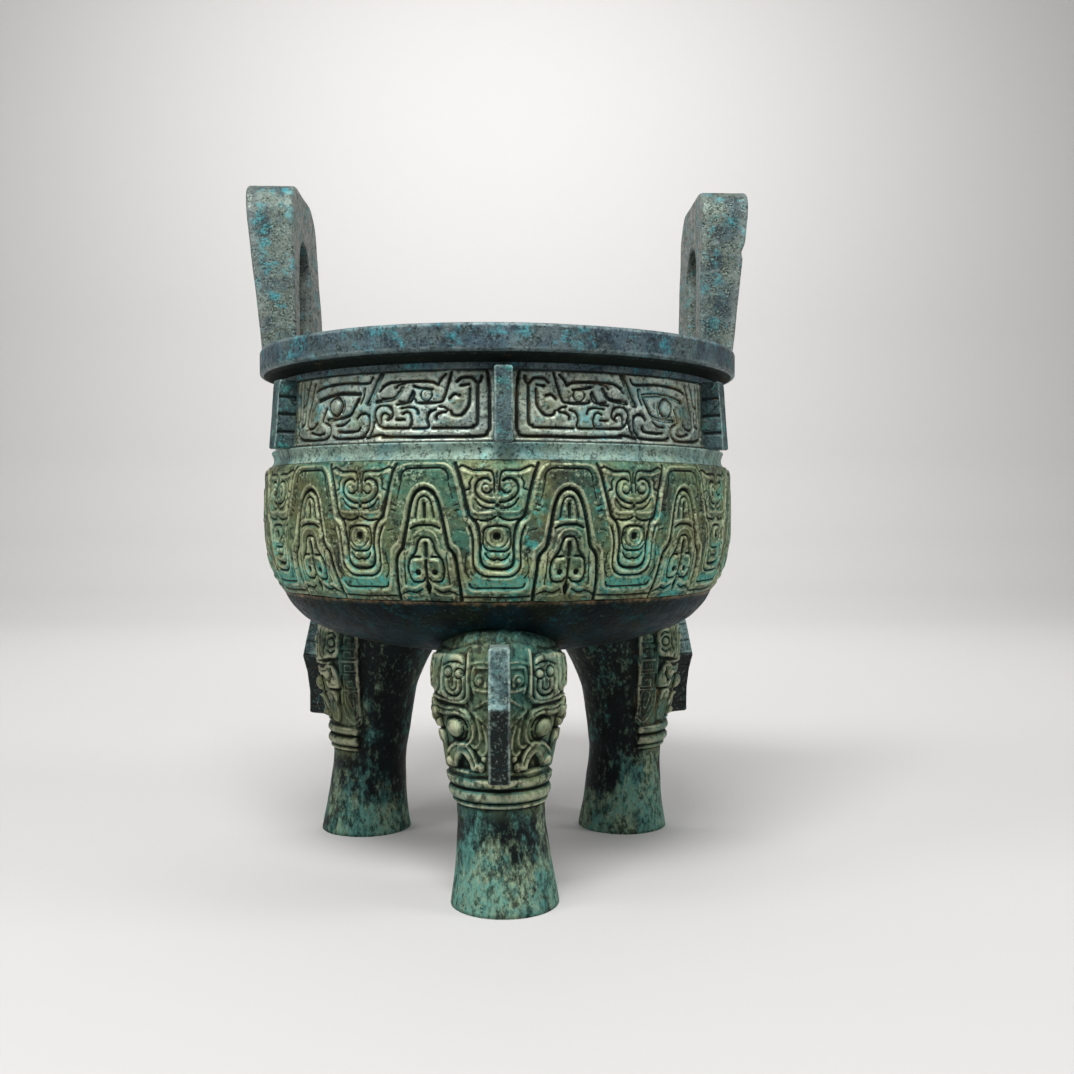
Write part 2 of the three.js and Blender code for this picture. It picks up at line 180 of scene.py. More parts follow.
class ReliefField:
    """Turns a drawing into heights over a grid of points."""

    def __init__(self, across: np.ndarray, up: np.ndarray) -> None:
        """Lays out the grid.

        Args:
            across: The columns' places, rising.
            up: The rows' places, rising.
        """
        self.across = across
        self.up = up
        self.x, self.y = np.meshgrid(across, up)
        self.level = np.zeros_like(self.x)
        self.raised = np.zeros_like(self.x)
        self.cut = np.zeros_like(self.x)

    def _window(self, points: np.ndarray, reach: float) -> tuple[slice, slice]:
        """Finds the part of the grid near some points."""
        low = points.min(axis=0) - reach
        high = points.max(axis=0) + reach
        columns = np.searchsorted(self.across, (low[0], high[0]))
        rows = np.searchsorted(self.up, (low[1], high[1]))
        return slice(*rows), slice(*columns)

    def _distance(self, line: np.ndarray, window: tuple[slice, slice]) -> np.ndarray:
        """Measures how far each grid point of a window is from a line."""
        x = self.x[window]
        y = self.y[window]
        nearest = np.full(x.shape, 1e9)
        for (ax, ay), (bx, by) in zip(line, line[1:]):
            dx, dy = bx - ax, by - ay
            length = dx * dx + dy * dy + 1e-12
            share = np.clip(((x - ax) * dx + (y - ay) * dy) / length, 0.0, 1.0)
            gap = (x - ax - share * dx) ** 2 + (y - ay - share * dy) ** 2
            np.minimum(nearest, gap, out=nearest)
        return np.sqrt(nearest)

    def _stroke(self, stroke: Stroke) -> None:
        """Adds a line, with a rounded crest or a rounded bottom."""
        line = smooth_line(stroke.points, stroke.closed)
        half = stroke.width / 2
        window = self._window(line, 3 * half)
        gap = self._distance(line, window)
        if not gap.size:
            return
        core = 1.0 - smoothstep(0.3 * half, 1.15 * half, gap)
        shoulder = np.exp(-((gap / (1.5 * half)) ** 2))
        shape = abs(stroke.height) * (0.74 * core + 0.26 * shoulder)
        target = self.raised if stroke.height > 0 else self.cut
        np.maximum(target[window], shape, out=target[window])

    def _boss(self, boss: Boss) -> None:
        """Adds a knob, or sinks a pit."""
        gap = np.hypot(self.x - boss.centre[0], self.y - boss.centre[1]) / boss.radius
        shape = abs(boss.height) * np.sqrt(np.clip(1.0 - gap * gap, 0.0, 1.0))
        target = self.raised if boss.height > 0 else self.cut
        np.maximum(target, shape, out=target)

    def _patch(self, patch: Patch) -> None:
        """Raises or lowers an area to a level."""
        line = smooth_line(patch.points, True)
        window = self._window(line, patch.soft)
        gap = self._distance(line, window)
        if not gap.size:
            return
        x = self.x[window]
        y = self.y[window]
        inside = np.zeros(x.shape, bool)
        for (ax, ay), (bx, by) in zip(line, line[1:]):
            if ay != by:
                crosses = (ay > y) != (by > y)
                inside ^= crosses & (x < (bx - ax) * (y - ay) / (by - ay) + ax)
        share = smoothstep(-patch.soft / 2, patch.soft / 2, np.where(inside, gap, -gap))
        level = self.level[window]
        level += (patch.height - level) * share

    def draw(self, marks: Iterable[Mark]) -> "ReliefField":
        """Adds every mark of a drawing in order."""
        kinds = {Stroke: self._stroke, Boss: self._boss, Patch: self._patch}
        for mark in marks:
            kinds[type(mark)](mark)
        return self

    def heights(self) -> np.ndarray:
        """The finished heights, in millimetres."""
        return self.level + self.raised - self.cut


def blurred(values: np.ndarray, reach: int) -> np.ndarray:
    """Softens a grid of values over a number of cells each way."""
    weights = np.exp(-0.5 * (np.arange(-2 * reach, 2 * reach + 1) / reach) ** 2)
    weights /= weights.sum()
    for axis in (0, 1):
        sides = [(0, 0), (0, 0)]
        sides[axis] = (2 * reach, 2 * reach)
        wide = np.pad(values, sides, mode="reflect" if values.shape[axis] > 2 * reach else "edge")
        slices = [
            weight * np.take(wide, range(i, i + values.shape[axis]), axis=axis)
            for i, weight in enumerate(weights)
        ]
        values = np.sum(slices, axis=0)
    return values


def edge_mask(heights: np.ndarray, cell: float, gain: float = 1.0) -> np.ndarray:
    """How proud each point stands of its surroundings: 0.5 is level, 1 a crest and 0 a cut.

    Args:
        heights: The relief, in millimetres.
        cell: The spacing of its points.
        gain: How strongly it reads; less for tall relief.

    Returns:
        The mask.
    """
    near = heights - blurred(heights, max(1, round(1.1 / cell)))
    wide = heights - blurred(heights, max(2, round(2.6 / cell)))
    return np.clip(0.5 + gain * (0.55 * near + 0.3 * wide), 0.0, 1.0)


# ---------------------------------------------------------------- meshes


class Shading(Enum):
    """How a piece's faces meet."""

    SMOOTH = "smooth"
    CREASED = "creased"


@dataclass
class Shape:
    """A mesh in the making, in millimetres round the bowl's axis."""

    points: np.ndarray
    faces: list[tuple[int, ...]]
    edge: np.ndarray
    crusted: np.ndarray | None = None
    body_share: np.ndarray | None = None
    zones: np.ndarray | None = None

    def facing_out(self) -> "Shape":
        """Turns every face over if the shape is inside out."""
        volume = 0.0
        for face in self.faces:
            a = self.points[face[0]]
            for i in range(1, len(face) - 1):
                volume += float(np.dot(a, np.cross(self.points[face[i]], self.points[face[i + 1]])))
        if volume < 0:
            self.faces = [tuple(reversed(face)) for face in self.faces]
        return self


def grid_faces(rows: int, columns: int, loop_rows: bool = False, loop_columns: bool = False) -> list:
    """Joins a grid of points with quads.

    Args:
        rows: How many rows of points there are.
        columns: How many points each row has.
        loop_rows: Whether the last row joins the first.
        loop_columns: Whether each row's last point joins its first.

    Returns:
        The faces as tuples of point numbers.
    """
    r = np.arange(rows if loop_rows else rows - 1)
    c = np.arange(columns if loop_columns else columns - 1)
    here, side = np.meshgrid(r, c, indexing="ij")
    above = (here + 1) % rows
    beyond = (side + 1) % columns
    quads = np.stack(
        [here * columns + side, here * columns + beyond, above * columns + beyond, above * columns + side],
        axis=-1,
    )
    return [tuple(face) for face in quads.reshape(-1, 4).tolist()]


def around_axis(angle: np.ndarray, radius: np.ndarray, height: np.ndarray) -> np.ndarray:
    """Points round the bowl, by the angle from the front in radians."""
    return np.stack([np.sin(angle) * radius, -np.cos(angle) * radius, height + 0 * radius], axis=-1)


def mesh_of(name: str, shape: Shape, shift: bool) -> bpy.types.Mesh:
    """Makes a Blender mesh in metres.

    Args:
        name: The mesh's name.
        shape: Its points, faces and edge mask.
        shift: Whether it moves to the row frame now, or a node tree does that later.

    Returns:
        The mesh.
    """
    places = (shape.points + (0.0, AXIS_Y if shift else 0.0, 0.0)) * MM
    mesh = bpy.data.meshes.new(name)
    mesh.from_pydata(places.tolist(), [], shape.faces)
    masks = {"edge": shape.edge, "crusted": shape.crusted, "body_share": shape.body_share}
    for label, mask in masks.items():
        values = np.zeros(len(places)) if mask is None else mask
        layer = mesh.attributes.new(label, "FLOAT", "POINT")
        layer.data.foreach_set("value", values.astype(np.float32).ravel())
    if shape.zones is not None:
        mesh.polygons.foreach_set("material_index", shape.zones.astype(np.int32))
    mesh.update()
    return mesh


def shade(mesh: bpy.types.Mesh, shading: Shading, crease: float = 35.0) -> None:
    """Smooths a mesh's faces, keeping the corners sharper than an angle if they are creased."""
    mesh.polygons.foreach_set("use_smooth", [True] * len(mesh.polygons))
    if shading is Shading.CREASED:
        mesh.set_sharp_from_angle(angle=math.radians(crease))
    mesh.update()


def linked(name: str, mesh: bpy.types.Mesh) -> bpy.types.Object:
    """Puts a mesh in the scene as an object at the origin."""
    piece = bpy.data.objects.new(name, mesh)
    bpy.context.scene.collection.objects.link(piece)
    return piece


def hand_over(piece: bpy.types.Object) -> None:
    """Says what a finished piece rides on and stands for."""
    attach(piece, "root")
    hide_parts(NODE)
    log.info("%s: %d faces", piece.name, len(piece.data.polygons))


# ---------------------------------------------------------------- node trees

FLOAT = "NodeSocketFloat"
VECTOR = "NodeSocketVector"


class TreeMaker:
    """Adds and joins the nodes of a shader or geometry tree."""

    def __init__(self, tree: bpy.types.NodeTree) -> None:
        """Starts on a tree."""
        self.tree = tree

    def node(self, kind: str, settings: dict | None = None, **inputs: object) -> bpy.types.Node:
        """Adds a node.

        Args:
            kind: The node's type.
            settings: Its own properties.
            **inputs: Its sockets by name, with _ for a space, or by number as i0, i1 and so on;
                each is given a value or another node's output.

        Returns:
            The node.
        """
        made = self.tree.nodes.new(kind)
        for name, value in (settings or {}).items():
            setattr(made, name, value)
        for name, value in inputs.items():
            number = name[1:]
            socket = made.inputs[int(number)] if number.isdigit() else made.inputs[name.replace("_", " ")]
            self.feed(socket, value)
        return made

    def feed(self, socket: bpy.types.NodeSocket, value: object) -> None:
        """Gives a socket a value or another socket's output."""
        if isinstance(value, bpy.types.NodeSocket):
            self.tree.links.new(value, socket)
        else:
            socket.default_value = value

    def maths(self, operation: str, *values: object) -> bpy.types.NodeSocket:
        """Works out a sum of numbers."""
        made = self.tree.nodes.new("ShaderNodeMath")
        made.operation = operation
        for socket, value in zip(made.inputs, values):
            self.feed(socket, value)
        return made.outputs[0]

    def vector(self, operation: str, first: object, second: object) -> bpy.types.NodeSocket:
        """Works out a sum of two vectors."""
        return self.node("ShaderNodeVectorMath", {"operation": operation}, i0=first, i1=second).outputs[0]

    def noise(
        self, place: object, seed: object, scale: object, detail: float, rough: float
    ) -> bpy.types.NodeSocket:
        """Adds a seeded noise and gives its value.

        Args:
            place: Where it is read.
            seed: What makes it differ from the next.
            scale: How fine it is.
            detail: How many finer layers it has.
            rough: How strong those layers are.

        Returns:
            Its value.
        """
        made = self.node(
            "ShaderNodeTexNoise",
            {"noise_dimensions": "4D"},
            Vector=place,
            W=seed,
            Scale=scale,
            Detail=detail,
            Roughness=rough,
        )
        return made.outputs[0]

    def times(self, first: object, second: object) -> bpy.types.NodeSocket:
        """Multiplies two numbers."""
        return self.maths("MULTIPLY", first, second)

    def span(self, value: object, low: float, high: float, start: float = 0.0, end: float = 1.0) -> object:
        """Eases a value from one range to another and holds it there."""
        made = self.node("ShaderNodeMapRange", {"interpolation_type": "SMOOTHSTEP"})
        for socket, given in zip(made.inputs, (value, low, high, start, end)):
            self.feed(socket, given)
        return made.outputs[0]

    def mix(self, share: object, first: object, second: object, blend: str = "MIX") -> bpy.types.NodeSocket:
        """Mixes two colours."""
        made = self.node("ShaderNodeMix", {"data_type": "RGBA", "blend_type": blend})
        self.feed(made.inputs[0], share)
        self.feed(made.inputs[6], first)
        self.feed(made.inputs[7], second)
        return made.outputs[2]


def group_tree(kind: str, name: str, inputs: dict[str, tuple], outputs: dict[str, str]) -> tuple:
    """Starts a node group with named sockets.

    Args:
        kind: ShaderNodeTree or GeometryNodeTree.
        name: The group's name.
        inputs: Each socket's name with its type and default, None for no default.
        outputs: Each socket's name with its type.

    Returns:
        The group, its maker, its input node and its output node.
    """
    tree = bpy.data.node_groups.new(name, kind)
    for label, (socket_type, default) in inputs.items():
        socket = tree.interface.new_socket(label, in_out="INPUT", socket_type=socket_type)
        if default is not None:
            socket.default_value = default
    for label, socket_type in outputs.items():
        tree.interface.new_socket(label, in_out="OUTPUT", socket_type=socket_type)
    maker = TreeMaker(tree)
    return tree, maker, maker.node("NodeGroupInput"), maker.node("NodeGroupOutput")


@dataclass
class CopiesAround:
    """A geometry tree that sets copies of a shape round the bowl's axis and welds them together.

    The copies wander a little, as hand-carved ones do, and end in the row frame.
    """

    weld: float = 0.05 * MM
    tree: bpy.types.NodeTree = field(init=False)

    def __post_init__(self) -> None:
        """Builds the tree."""
        self.tree, m, source, result = group_tree(
            "GeometryNodeTree",
            "Copies around the axis",
            {
                "Geometry": ("NodeSocketGeometry", None),
                "Count": ("NodeSocketInt", 1),
                "First Angle": (FLOAT, 0.0),
                "Step Angle": (FLOAT, 0.0),
                "Wander": (FLOAT, 0.0),
                "Wander Scale": (FLOAT, 20.0),
                "Seed": (FLOAT, 0.0),
                "Axis": (VECTOR, (0.0, AXIS_Y * MM, 0.0)),
                "Material": ("NodeSocketMaterial", None),
            },
            {"Geometry": "NodeSocketGeometry"},
        )
        given = source.outputs
        spots = m.node("GeometryNodePoints", Count=given["Count"])
        index = m.node("GeometryNodeInputIndex").outputs[0]
        turn = m.maths("MULTIPLY_ADD", index, given["Step Angle"], given["First Angle"])
        angle = m.node("ShaderNodeCombineXYZ", Z=turn).outputs[0]
        copies = m.node(
            "GeometryNodeInstanceOnPoints",
            Points=spots.outputs[0],
            Instance=given["Geometry"],
            Rotation=angle,
        )
        real = m.node("GeometryNodeRealizeInstances", Geometry=copies.outputs[0])
        welded = m.node("GeometryNodeMergeByDistance", Geometry=real.outputs[0], Distance=self.weld)
        place = m.node("GeometryNodeInputPosition").outputs[0]
        noise = m.node(
            "ShaderNodeTexNoise",
            {"noise_dimensions": "4D"},
            Vector=place,
            W=given["Seed"],
            Scale=given["Wander Scale"],
            Detail=1.0,
        )
        centred = m.vector("SUBTRACT", noise.outputs["Color"], (0.5, 0.5, 0.5))
        drift = m.node("ShaderNodeVectorMath", {"operation": "SCALE"}, i0=centred, Scale=given["Wander"])
        moved = m.vector("ADD", drift.outputs[0], given["Axis"])
        set_place = m.node("GeometryNodeSetPosition", Geometry=welded.outputs[0], Offset=moved)
        dressed = m.node(
            "GeometryNodeSetMaterial", Geometry=set_place.outputs[0], Material=given["Material"]
        )
        m.feed(result.inputs[0], dressed.outputs[0])

    def apply(self, name: str, shape: Shape, **values: object) -> bpy.types.Object:
        """Makes a finished piece from one shape.

        Args:
            name: The piece's name.
            shape: The shape to copy.
            **values: The tree's inputs by name, with _ for a space.

        Returns:
            The piece, with a plain mesh and no modifier.
        """
        piece = linked(name, mesh_of(name, shape, shift=False))
        modifier = piece.modifiers.new("copies", "NODES")
        modifier.node_group = self.tree
        sockets = {s.name: s.identifier for s in self.tree.interface.items_tree if s.in_out == "INPUT"}
        for label, value in values.items():
            modifier[sockets[label.replace("_", " ")]] = value
        graph = bpy.context.evaluated_depsgraph_get()
        finished = bpy.data.meshes.new_from_object(piece.evaluated_get(graph), depsgraph=graph)
        piece.modifiers.clear()
        piece.data = finished
        finished.name = name
        return piece


def close_ends(piece: bpy.types.Object) -> None:
    """Closes a band's open ends with flat faces."""
    shape = bmesh.new()
    shape.from_mesh(piece.data)
    open_edges = [edge for edge in shape.edges if edge.is_boundary]
    filled = bmesh.ops.holes_fill(shape, edges=open_edges, sides=0)["faces"]
    for face in filled:
        face.smooth = False
        for edge in face.edges:
            edge.smooth = False
    shape.to_mesh(piece.data)
    shape.free()


# ---------------------------------------------------------------- finishes

Colour = tuple[float, float, float, float]


def tone(red: float, green: float, blue: float) -> Colour:
    """A colour from screen values of 0 to 255."""
    levels = [c / 255.0 for c in (red, green, blue)]
    linear = [c / 12.92 if c <= 0.04045 else ((c + 0.055) / 1.055) ** 2.4 for c in levels]
    return (linear[0], linear[1], linear[2], 1.0)


@dataclass
class PatinaGroups:
    """The effects that every patinated surface shares, each a shader node group."""

    mottle: bpy.types.NodeTree = field(init=False)
    wear: bpy.types.NodeTree = field(init=False)
    deposit: bpy.types.NodeTree = field(init=False)
    pits: bpy.types.NodeTree = field(init=False)

    def __post_init__(self) -> None:
        """Builds the four groups."""
        self.mottle = self._mottle()
        self.wear = self._wear()
        self.deposit = self._deposit()
        self.pits = self._pits()

    def _mottle(self) -> bpy.types.NodeTree:
        """Cloudy variation at three sizes, and small light and dark specks."""
        tree, m, source, result = group_tree(
            "ShaderNodeTree",
            "Patina mottle",
            {"Vector": (VECTOR, None), "Size": (FLOAT, 1.0), "Seed": (FLOAT, 0.0)},
            {"Broad": FLOAT, "Medium": FLOAT, "Light speck": FLOAT, "Dark speck": FLOAT},
        )
        vector, size, seed = (source.outputs[k] for k in ("Vector", "Size", "Seed"))
        broad = m.noise(vector, seed, m.maths("DIVIDE", 24.0, size), detail=6.0, rough=0.62)
        medium = m.noise(vector, seed, m.maths("DIVIDE", 95.0, size), detail=6.0, rough=0.66)
        grit = m.noise(vector, seed, m.maths("DIVIDE", 330.0, size), detail=5.0, rough=0.7)
        m.feed(result.inputs["Broad"], m.span(broad, 0.42, 0.58))
        m.feed(result.inputs["Medium"], m.span(medium, 0.38, 0.62))
        light = m.maths("MULTIPLY_ADD", medium, 0.5, grit)
        dark = m.maths("MULTIPLY_ADD", medium, -0.5, grit)
        m.feed(result.inputs["Light speck"], m.span(light, 0.79, 0.92))
        m.feed(result.inputs["Dark speck"], m.span(dark, 0.25, 0.12))
        return tree

    def _wear(self) -> bpy.types.NodeTree:
        """Where crests are rubbed and carry a painted highlight, and where hollows hold dirt and painted
        shade.
        """
        tree, m, source, result = group_tree(
            "ShaderNodeTree",
            "Worn and highlit crests, shaded hollows",
            {"Vector": (VECTOR, None), "Edge": (FLOAT, 0.5), "Seed": (FLOAT, 0.0)},
            {"Crest": FLOAT, "Hollow": FLOAT, "Depth": FLOAT},
        )
        vector, edge, seed = (source.outputs[k] for k in ("Vector", "Edge", "Seed"))
        broken = m.noise(vector, seed, scale=240.0, detail=4.0, rough=0.65)
        patchy = m.noise(vector, seed, scale=60.0, detail=3.0, rough=0.6)
        shifted = m.maths("MULTIPLY_ADD", m.maths("SUBTRACT", broken, 0.5), 0.45, edge)
        crest = m.times(m.span(shifted, 0.57, 0.84), m.span(patchy, 0.36, 0.6, 0.3, 1.0))
        m.feed(result.inputs["Crest"], crest)
        m.feed(result.inputs["Hollow"], m.span(shifted, 0.46, 0.2))
        m.feed(result.inputs["Depth"], m.span(edge, 0.34, 0.06))
        return tree

    def _deposit(self) -> bpy.types.NodeTree:
        """Patches of crust with broken edges, thicker where the surface says so."""
        tree, m, source, result = group_tree(
            "ShaderNodeTree",
            "Patina deposit",
            {
                "Vector": (VECTOR, None),
                "Size": (FLOAT, 1.0),
                "Seed": (FLOAT, 0.0),
                "Share": (FLOAT, 0.3),
                "Extra": (FLOAT, 0.0),
            },
            {"Mask": FLOAT},
        )
        vector, size, seed, share, extra = source.outputs[:5]
        patch = m.noise(vector, seed, m.maths("DIVIDE", 30.0, size), detail=8.0, rough=0.68)
        grit = m.noise(vector, seed, scale=210.0, detail=5.0, rough=0.7)
        mixed = m.maths("MULTIPLY_ADD", grit, 0.35, m.times(patch, 0.65))
        low = m.maths("MULTIPLY_ADD", m.maths("ADD", share, extra), -0.26, 0.63)
        fine = m.noise(vector, seed, scale=480.0, detail=5.0, rough=0.7)
        made = m.span(m.maths("SUBTRACT", mixed, low), 0.0, 0.09)
        made = m.times(made, m.span(fine, 0.38, 0.58, 0.3, 1.0))
        m.feed(result.inputs[0], made)
        return tree

    def _pits(self) -> bpy.types.NodeTree:
        """The casting's small pits and grain, as a height."""
        tree, m, source, result = group_tree(
            "ShaderNodeTree",
            "Casting pits",
            {"Vector": (VECTOR, None), "Seed": (FLOAT, 0.0)},
            {"Height": FLOAT, "Pit": FLOAT},
        )
        vector, seed = source.outputs["Vector"], source.outputs["Seed"]
        grain = m.noise(vector, seed, scale=700.0, detail=4.0, rough=0.65)
        lumps = m.noise(vector, seed, scale=210.0, detail=6.0, rough=0.68)
        sparse = m.noise(vector, seed, scale=70.0, detail=2.0, rough=0.5)
        cells = m.node("ShaderNodeTexVoronoi", {"voronoi_dimensions": "3D"}, Vector=vector, Scale=330.0)
        pit = m.times(m.span(cells.outputs["Distance"], 0.26, 0.12), m.span(sparse, 0.5, 0.62))
        height = m.maths("MULTIPLY_ADD", grain, 0.5, m.times(lumps, 1.4))
        m.feed(result.inputs["Height"], m.maths("SUBTRACT", height, m.times(pit, 0.6)))
        m.feed(result.inputs["Pit"], pit)
        return tree


@dataclass(frozen=True)
class Patina:
    """One finish of old bronze.

    Args:
        name: The material's name.
        body: The main colour.
        cloud: The colour of the broad clouds over it.
        crest: The colour of rubbed edges, partly a painted highlight.
        hollow: The colour down in the cuts, dirt with painted shade.
        moss: The colour of a second set of clouds.
        crust: The colour of the bright crust.
        bloom: The colour of the paler, drier crust.
        earth: The colour of the soil left in the cuts.
        skin: The colour where the body share is low, None where it is the same all over; on the ears it is
            painted light and on the leg flanges painted shade.
        speck: The colour of the light specks.
        cloud_share: How strong the clouds are.
        moss_share: How strong the second clouds are.
        crest_share: How strong the rubbed edges and their painted highlight are.
        crust_share: How much of the surface has crust.
        bloom_share: How much of it has the paler crust.
        crust_strength: How thick the crust's colour is.
        earth_share: How much soil there is.
        speck_share: How strong the specks are.
        hollow_share: How strong the dark of the cuts is, dirt with painted shade.
        foot_crust: How much more crust there is low down near the floor.
        size: How large the patches are.
        streak: Under 1 where the patches run downwards, as a share of their width to their length.
        roughness: The roughness of the body.
        shine: How strongly it reflects.
        metal: How much bare metal shines through.
        bump: How strong the grain is.
        seed: What makes this finish differ from the next.
    """

    name: str
    body: Colour
    cloud: Colour
    crest: Colour
    hollow: Colour = tone(16, 24, 20)
    moss: Colour = tone(120, 128, 84)
    crust: Colour = tone(60, 160, 152)
    bloom: Colour = tone(138, 170, 138)
    earth: Colour = tone(146, 112, 66)
    skin: Colour | None = None
    speck: Colour = tone(150, 170, 155)
    cloud_share: float = 0.8
    moss_share: float = 0.0
    crest_share: float = 0.7
    crust_share: float = 0.3
    bloom_share: float = 0.2
    crust_strength: float = 0.8
    earth_share: float = 0.3
    speck_share: float = 0.4
    hollow_share: float = 0.8
    foot_crust: float = 0.0
    size: float = 1.0
    streak: float = 1.0
    roughness: float = 0.5
    shine: float = 0.25
    metal: float = 0.3
    bump: float = 0.7
    seed: float = 0.0

    def material(self, groups: PatinaGroups) -> bpy.types.Material:
        """Makes the material.

        Args:
            groups: The shared effects.

        Returns:
            The material.
        """
        made = bpy.data.materials.new(self.name)
        made.use_nodes = True
        made.diffuse_color = self.body
        made.node_tree.nodes.clear()
        m = TreeMaker(made.node_tree)
        vector = m.node("ShaderNodeTexCoord").outputs["Object"]
        edge, crusted, body_share = (
            m.node("ShaderNodeAttribute", {"attribute_name": label}).outputs["Fac"]
            for label in ("edge", "crusted", "body_share")
        )
        extra = crusted
        if self.foot_crust:
            height = m.node("ShaderNodeSeparateXYZ", Vector=vector).outputs["Z"]
            low_down = m.span(height, 60 * MM, 4 * MM, 0.0, self.foot_crust)
            extra = m.maths("ADD", low_down, crusted)
        stretched = m.vector("MULTIPLY", vector, (1.0, 1.0, self.streak))
        patches = {"Vector": stretched, "Size": self.size}
        mottle = self._placed(m, groups.mottle, **patches, Seed=self.seed)
        wear = self._placed(m, groups.wear, Vector=vector, Edge=edge, Seed=self.seed + 3.0)

        def deposit(step: float, share: float, more: object) -> bpy.types.NodeSocket:
            """Places one kind of crust."""
            made = self._placed(m, groups.deposit, **patches, Seed=self.seed + step, Share=share, Extra=more)
            return made.outputs[0]

        crust = deposit(7.0, self.crust_share, extra)
        bloom = deposit(10.0, self.bloom_share, extra)
        soil = deposit(13.0, self.earth_share, 0.0)
        pits = self._placed(m, groups.pits, Vector=vector, Seed=self.seed + 19.0)
        broad, medium, light_speck, dark_speck = mottle.outputs
        crest, hollow, depth = wear.outputs

        colour = m.mix(m.times(broad, self.cloud_share), self.body, self.cloud)
        if self.moss_share:
            second = self._placed(m, groups.mottle, Vector=vector, Size=self.size, Seed=self.seed + 31.0)
            colour = m.mix(m.times(second.outputs[0], self.moss_share), colour, self.moss)
        # Where the body share is low the skin colour goes: a painted lit face on the ears' inner faces, and
        # a painted shaded lower facet on the leg flanges.
        if self.skin is not None:
            colour = m.mix(body_share, self.skin, colour)
        colour = m.mix(m.times(medium, 0.5), colour, (0.36, 0.38, 0.38, 1.0), "MULTIPLY")
        colour = m.mix(m.times(light_speck, self.speck_share), colour, self.speck)
        colour = m.mix(m.times(bloom, 0.8 * self.crust_strength), colour, self.bloom)
        colour = m.mix(m.times(crust, self.crust_strength), colour, self.crust)
        # Rubbed crests with a painted highlight, then dark specks, then hollows darkened with dirt and
        # painted shade.
        colour = m.mix(m.times(crest, self.crest_share), colour, self.crest)
        colour = m.mix(m.times(dark_speck, 0.75), colour, self.hollow)
        colour = m.mix(m.times(hollow, self.hollow_share), colour, self.hollow)
        earthy = m.times(m.times(soil, hollow), m.maths("SUBTRACT", 1.0, depth))
        colour = m.mix(m.times(earthy, 0.85), colour, self.earth)
        colour = m.mix(m.times(pits.outputs["Pit"], 0.7), colour, self.hollow)

        covered = m.maths("MAXIMUM", m.maths("MAXIMUM", crust, bloom), hollow)
        rough = m.maths("MULTIPLY_ADD", medium, 0.14, self.roughness)
        rough = m.maths("MULTIPLY_ADD", covered, 0.28, rough)
        rough = m.maths("SUBTRACT", rough, m.times(crest, 0.12))
        bare = m.times(m.maths("SUBTRACT", 1.0, covered), self.metal)
        height = m.maths("MULTIPLY_ADD", m.maths("MAXIMUM", crust, bloom), 0.25, pits.outputs["Height"])
        bump = m.node("ShaderNodeBump", Height=height, Strength=self.bump, Distance=0.9 * MM)
        shader = m.node(
            "ShaderNodeBsdfPrincipled",
            Base_Color=colour,
            Roughness=rough,
            Metallic=bare,
            Normal=bump.outputs[0],
            Specular_IOR_Level=self.shine,
        )
        m.node("ShaderNodeOutputMaterial", Surface=shader.outputs[0])
        return made

    @staticmethod
    def _placed(m: TreeMaker, tree: bpy.types.NodeTree, **inputs: object) -> bpy.types.Node:
        """Places a shared group in a material and gives it its values."""
        return m.node("ShaderNodeGroup", {"node_tree": tree}, **inputs)


RIM_PATINA = Patina(
    "Rim patina",
    body=tone(72, 92, 102), cloud=tone(32, 48, 58), crest=tone(132, 150, 150), speck=tone(112, 134, 134),
    moss=tone(98, 112, 110), moss_share=0.6, crust=tone(56, 146, 156), crust_share=0.46,
    bloom=tone(96, 126, 128), bloom_share=0.34, crust_strength=0.65, speck_share=0.45, size=0.5,
    roughness=0.42, metal=0.35, seed=1.0,
)
# Painted shade: the rim's underside is painted dark, where shade falls under the rim.
RIM_UNDERSIDE_SHADE = Patina(
    "Rim underside painted shade",
    body=tone(14, 24, 26), cloud=tone(26, 36, 32), crest=tone(70, 84, 80), crust=tone(34, 80, 80),
    crust_share=0.12, bloom_share=0.0, speck_share=0.1, size=0.6, shine=0.1, metal=0.0, roughness=0.7,
    seed=1.5,
)
# The pale skin colour is painted light on the ears' inner faces, with some of it on their other faces.
EAR_PATINA_AND_LIGHT = Patina(
    "Ear patina and painted light",
    body=tone(74, 90, 92), cloud=tone(42, 54, 60), crest=tone(146, 160, 156), skin=tone(140, 144, 138),
    moss=tone(120, 130, 116), moss_share=0.6, crust=tone(62, 158, 166), crust_share=0.5,
    bloom=tone(132, 152, 146), bloom_share=0.4, crust_strength=0.6, crest_share=0.3, speck_share=0.6,
    size=0.4, roughness=0.45, metal=0.35, seed=2.0,
)
FRIEZE_PATINA = Patina(
    "Frieze patina",
    body=tone(102, 120, 116), cloud=tone(60, 84, 88), crest=tone(190, 200, 186), moss=tone(132, 134, 98),
    moss_share=0.6, hollow=tone(8, 14, 12), earth=tone(150, 118, 66), earth_share=0.6,
    crust=tone(74, 150, 156), crust_share=0.46, bloom_share=0.3, size=0.6, roughness=0.36, metal=0.5,
    hollow_share=0.95, seed=3.0,
)
FLANGE_PATINA = Patina(
    "Neck flange patina",
    body=tone(78, 100, 102), cloud=tone(46, 64, 70), crest=tone(146, 166, 160), crust_share=0.46,
    bloom_share=0.4, crust_strength=0.6, size=0.4, roughness=0.45, metal=0.35, seed=4.0,
)
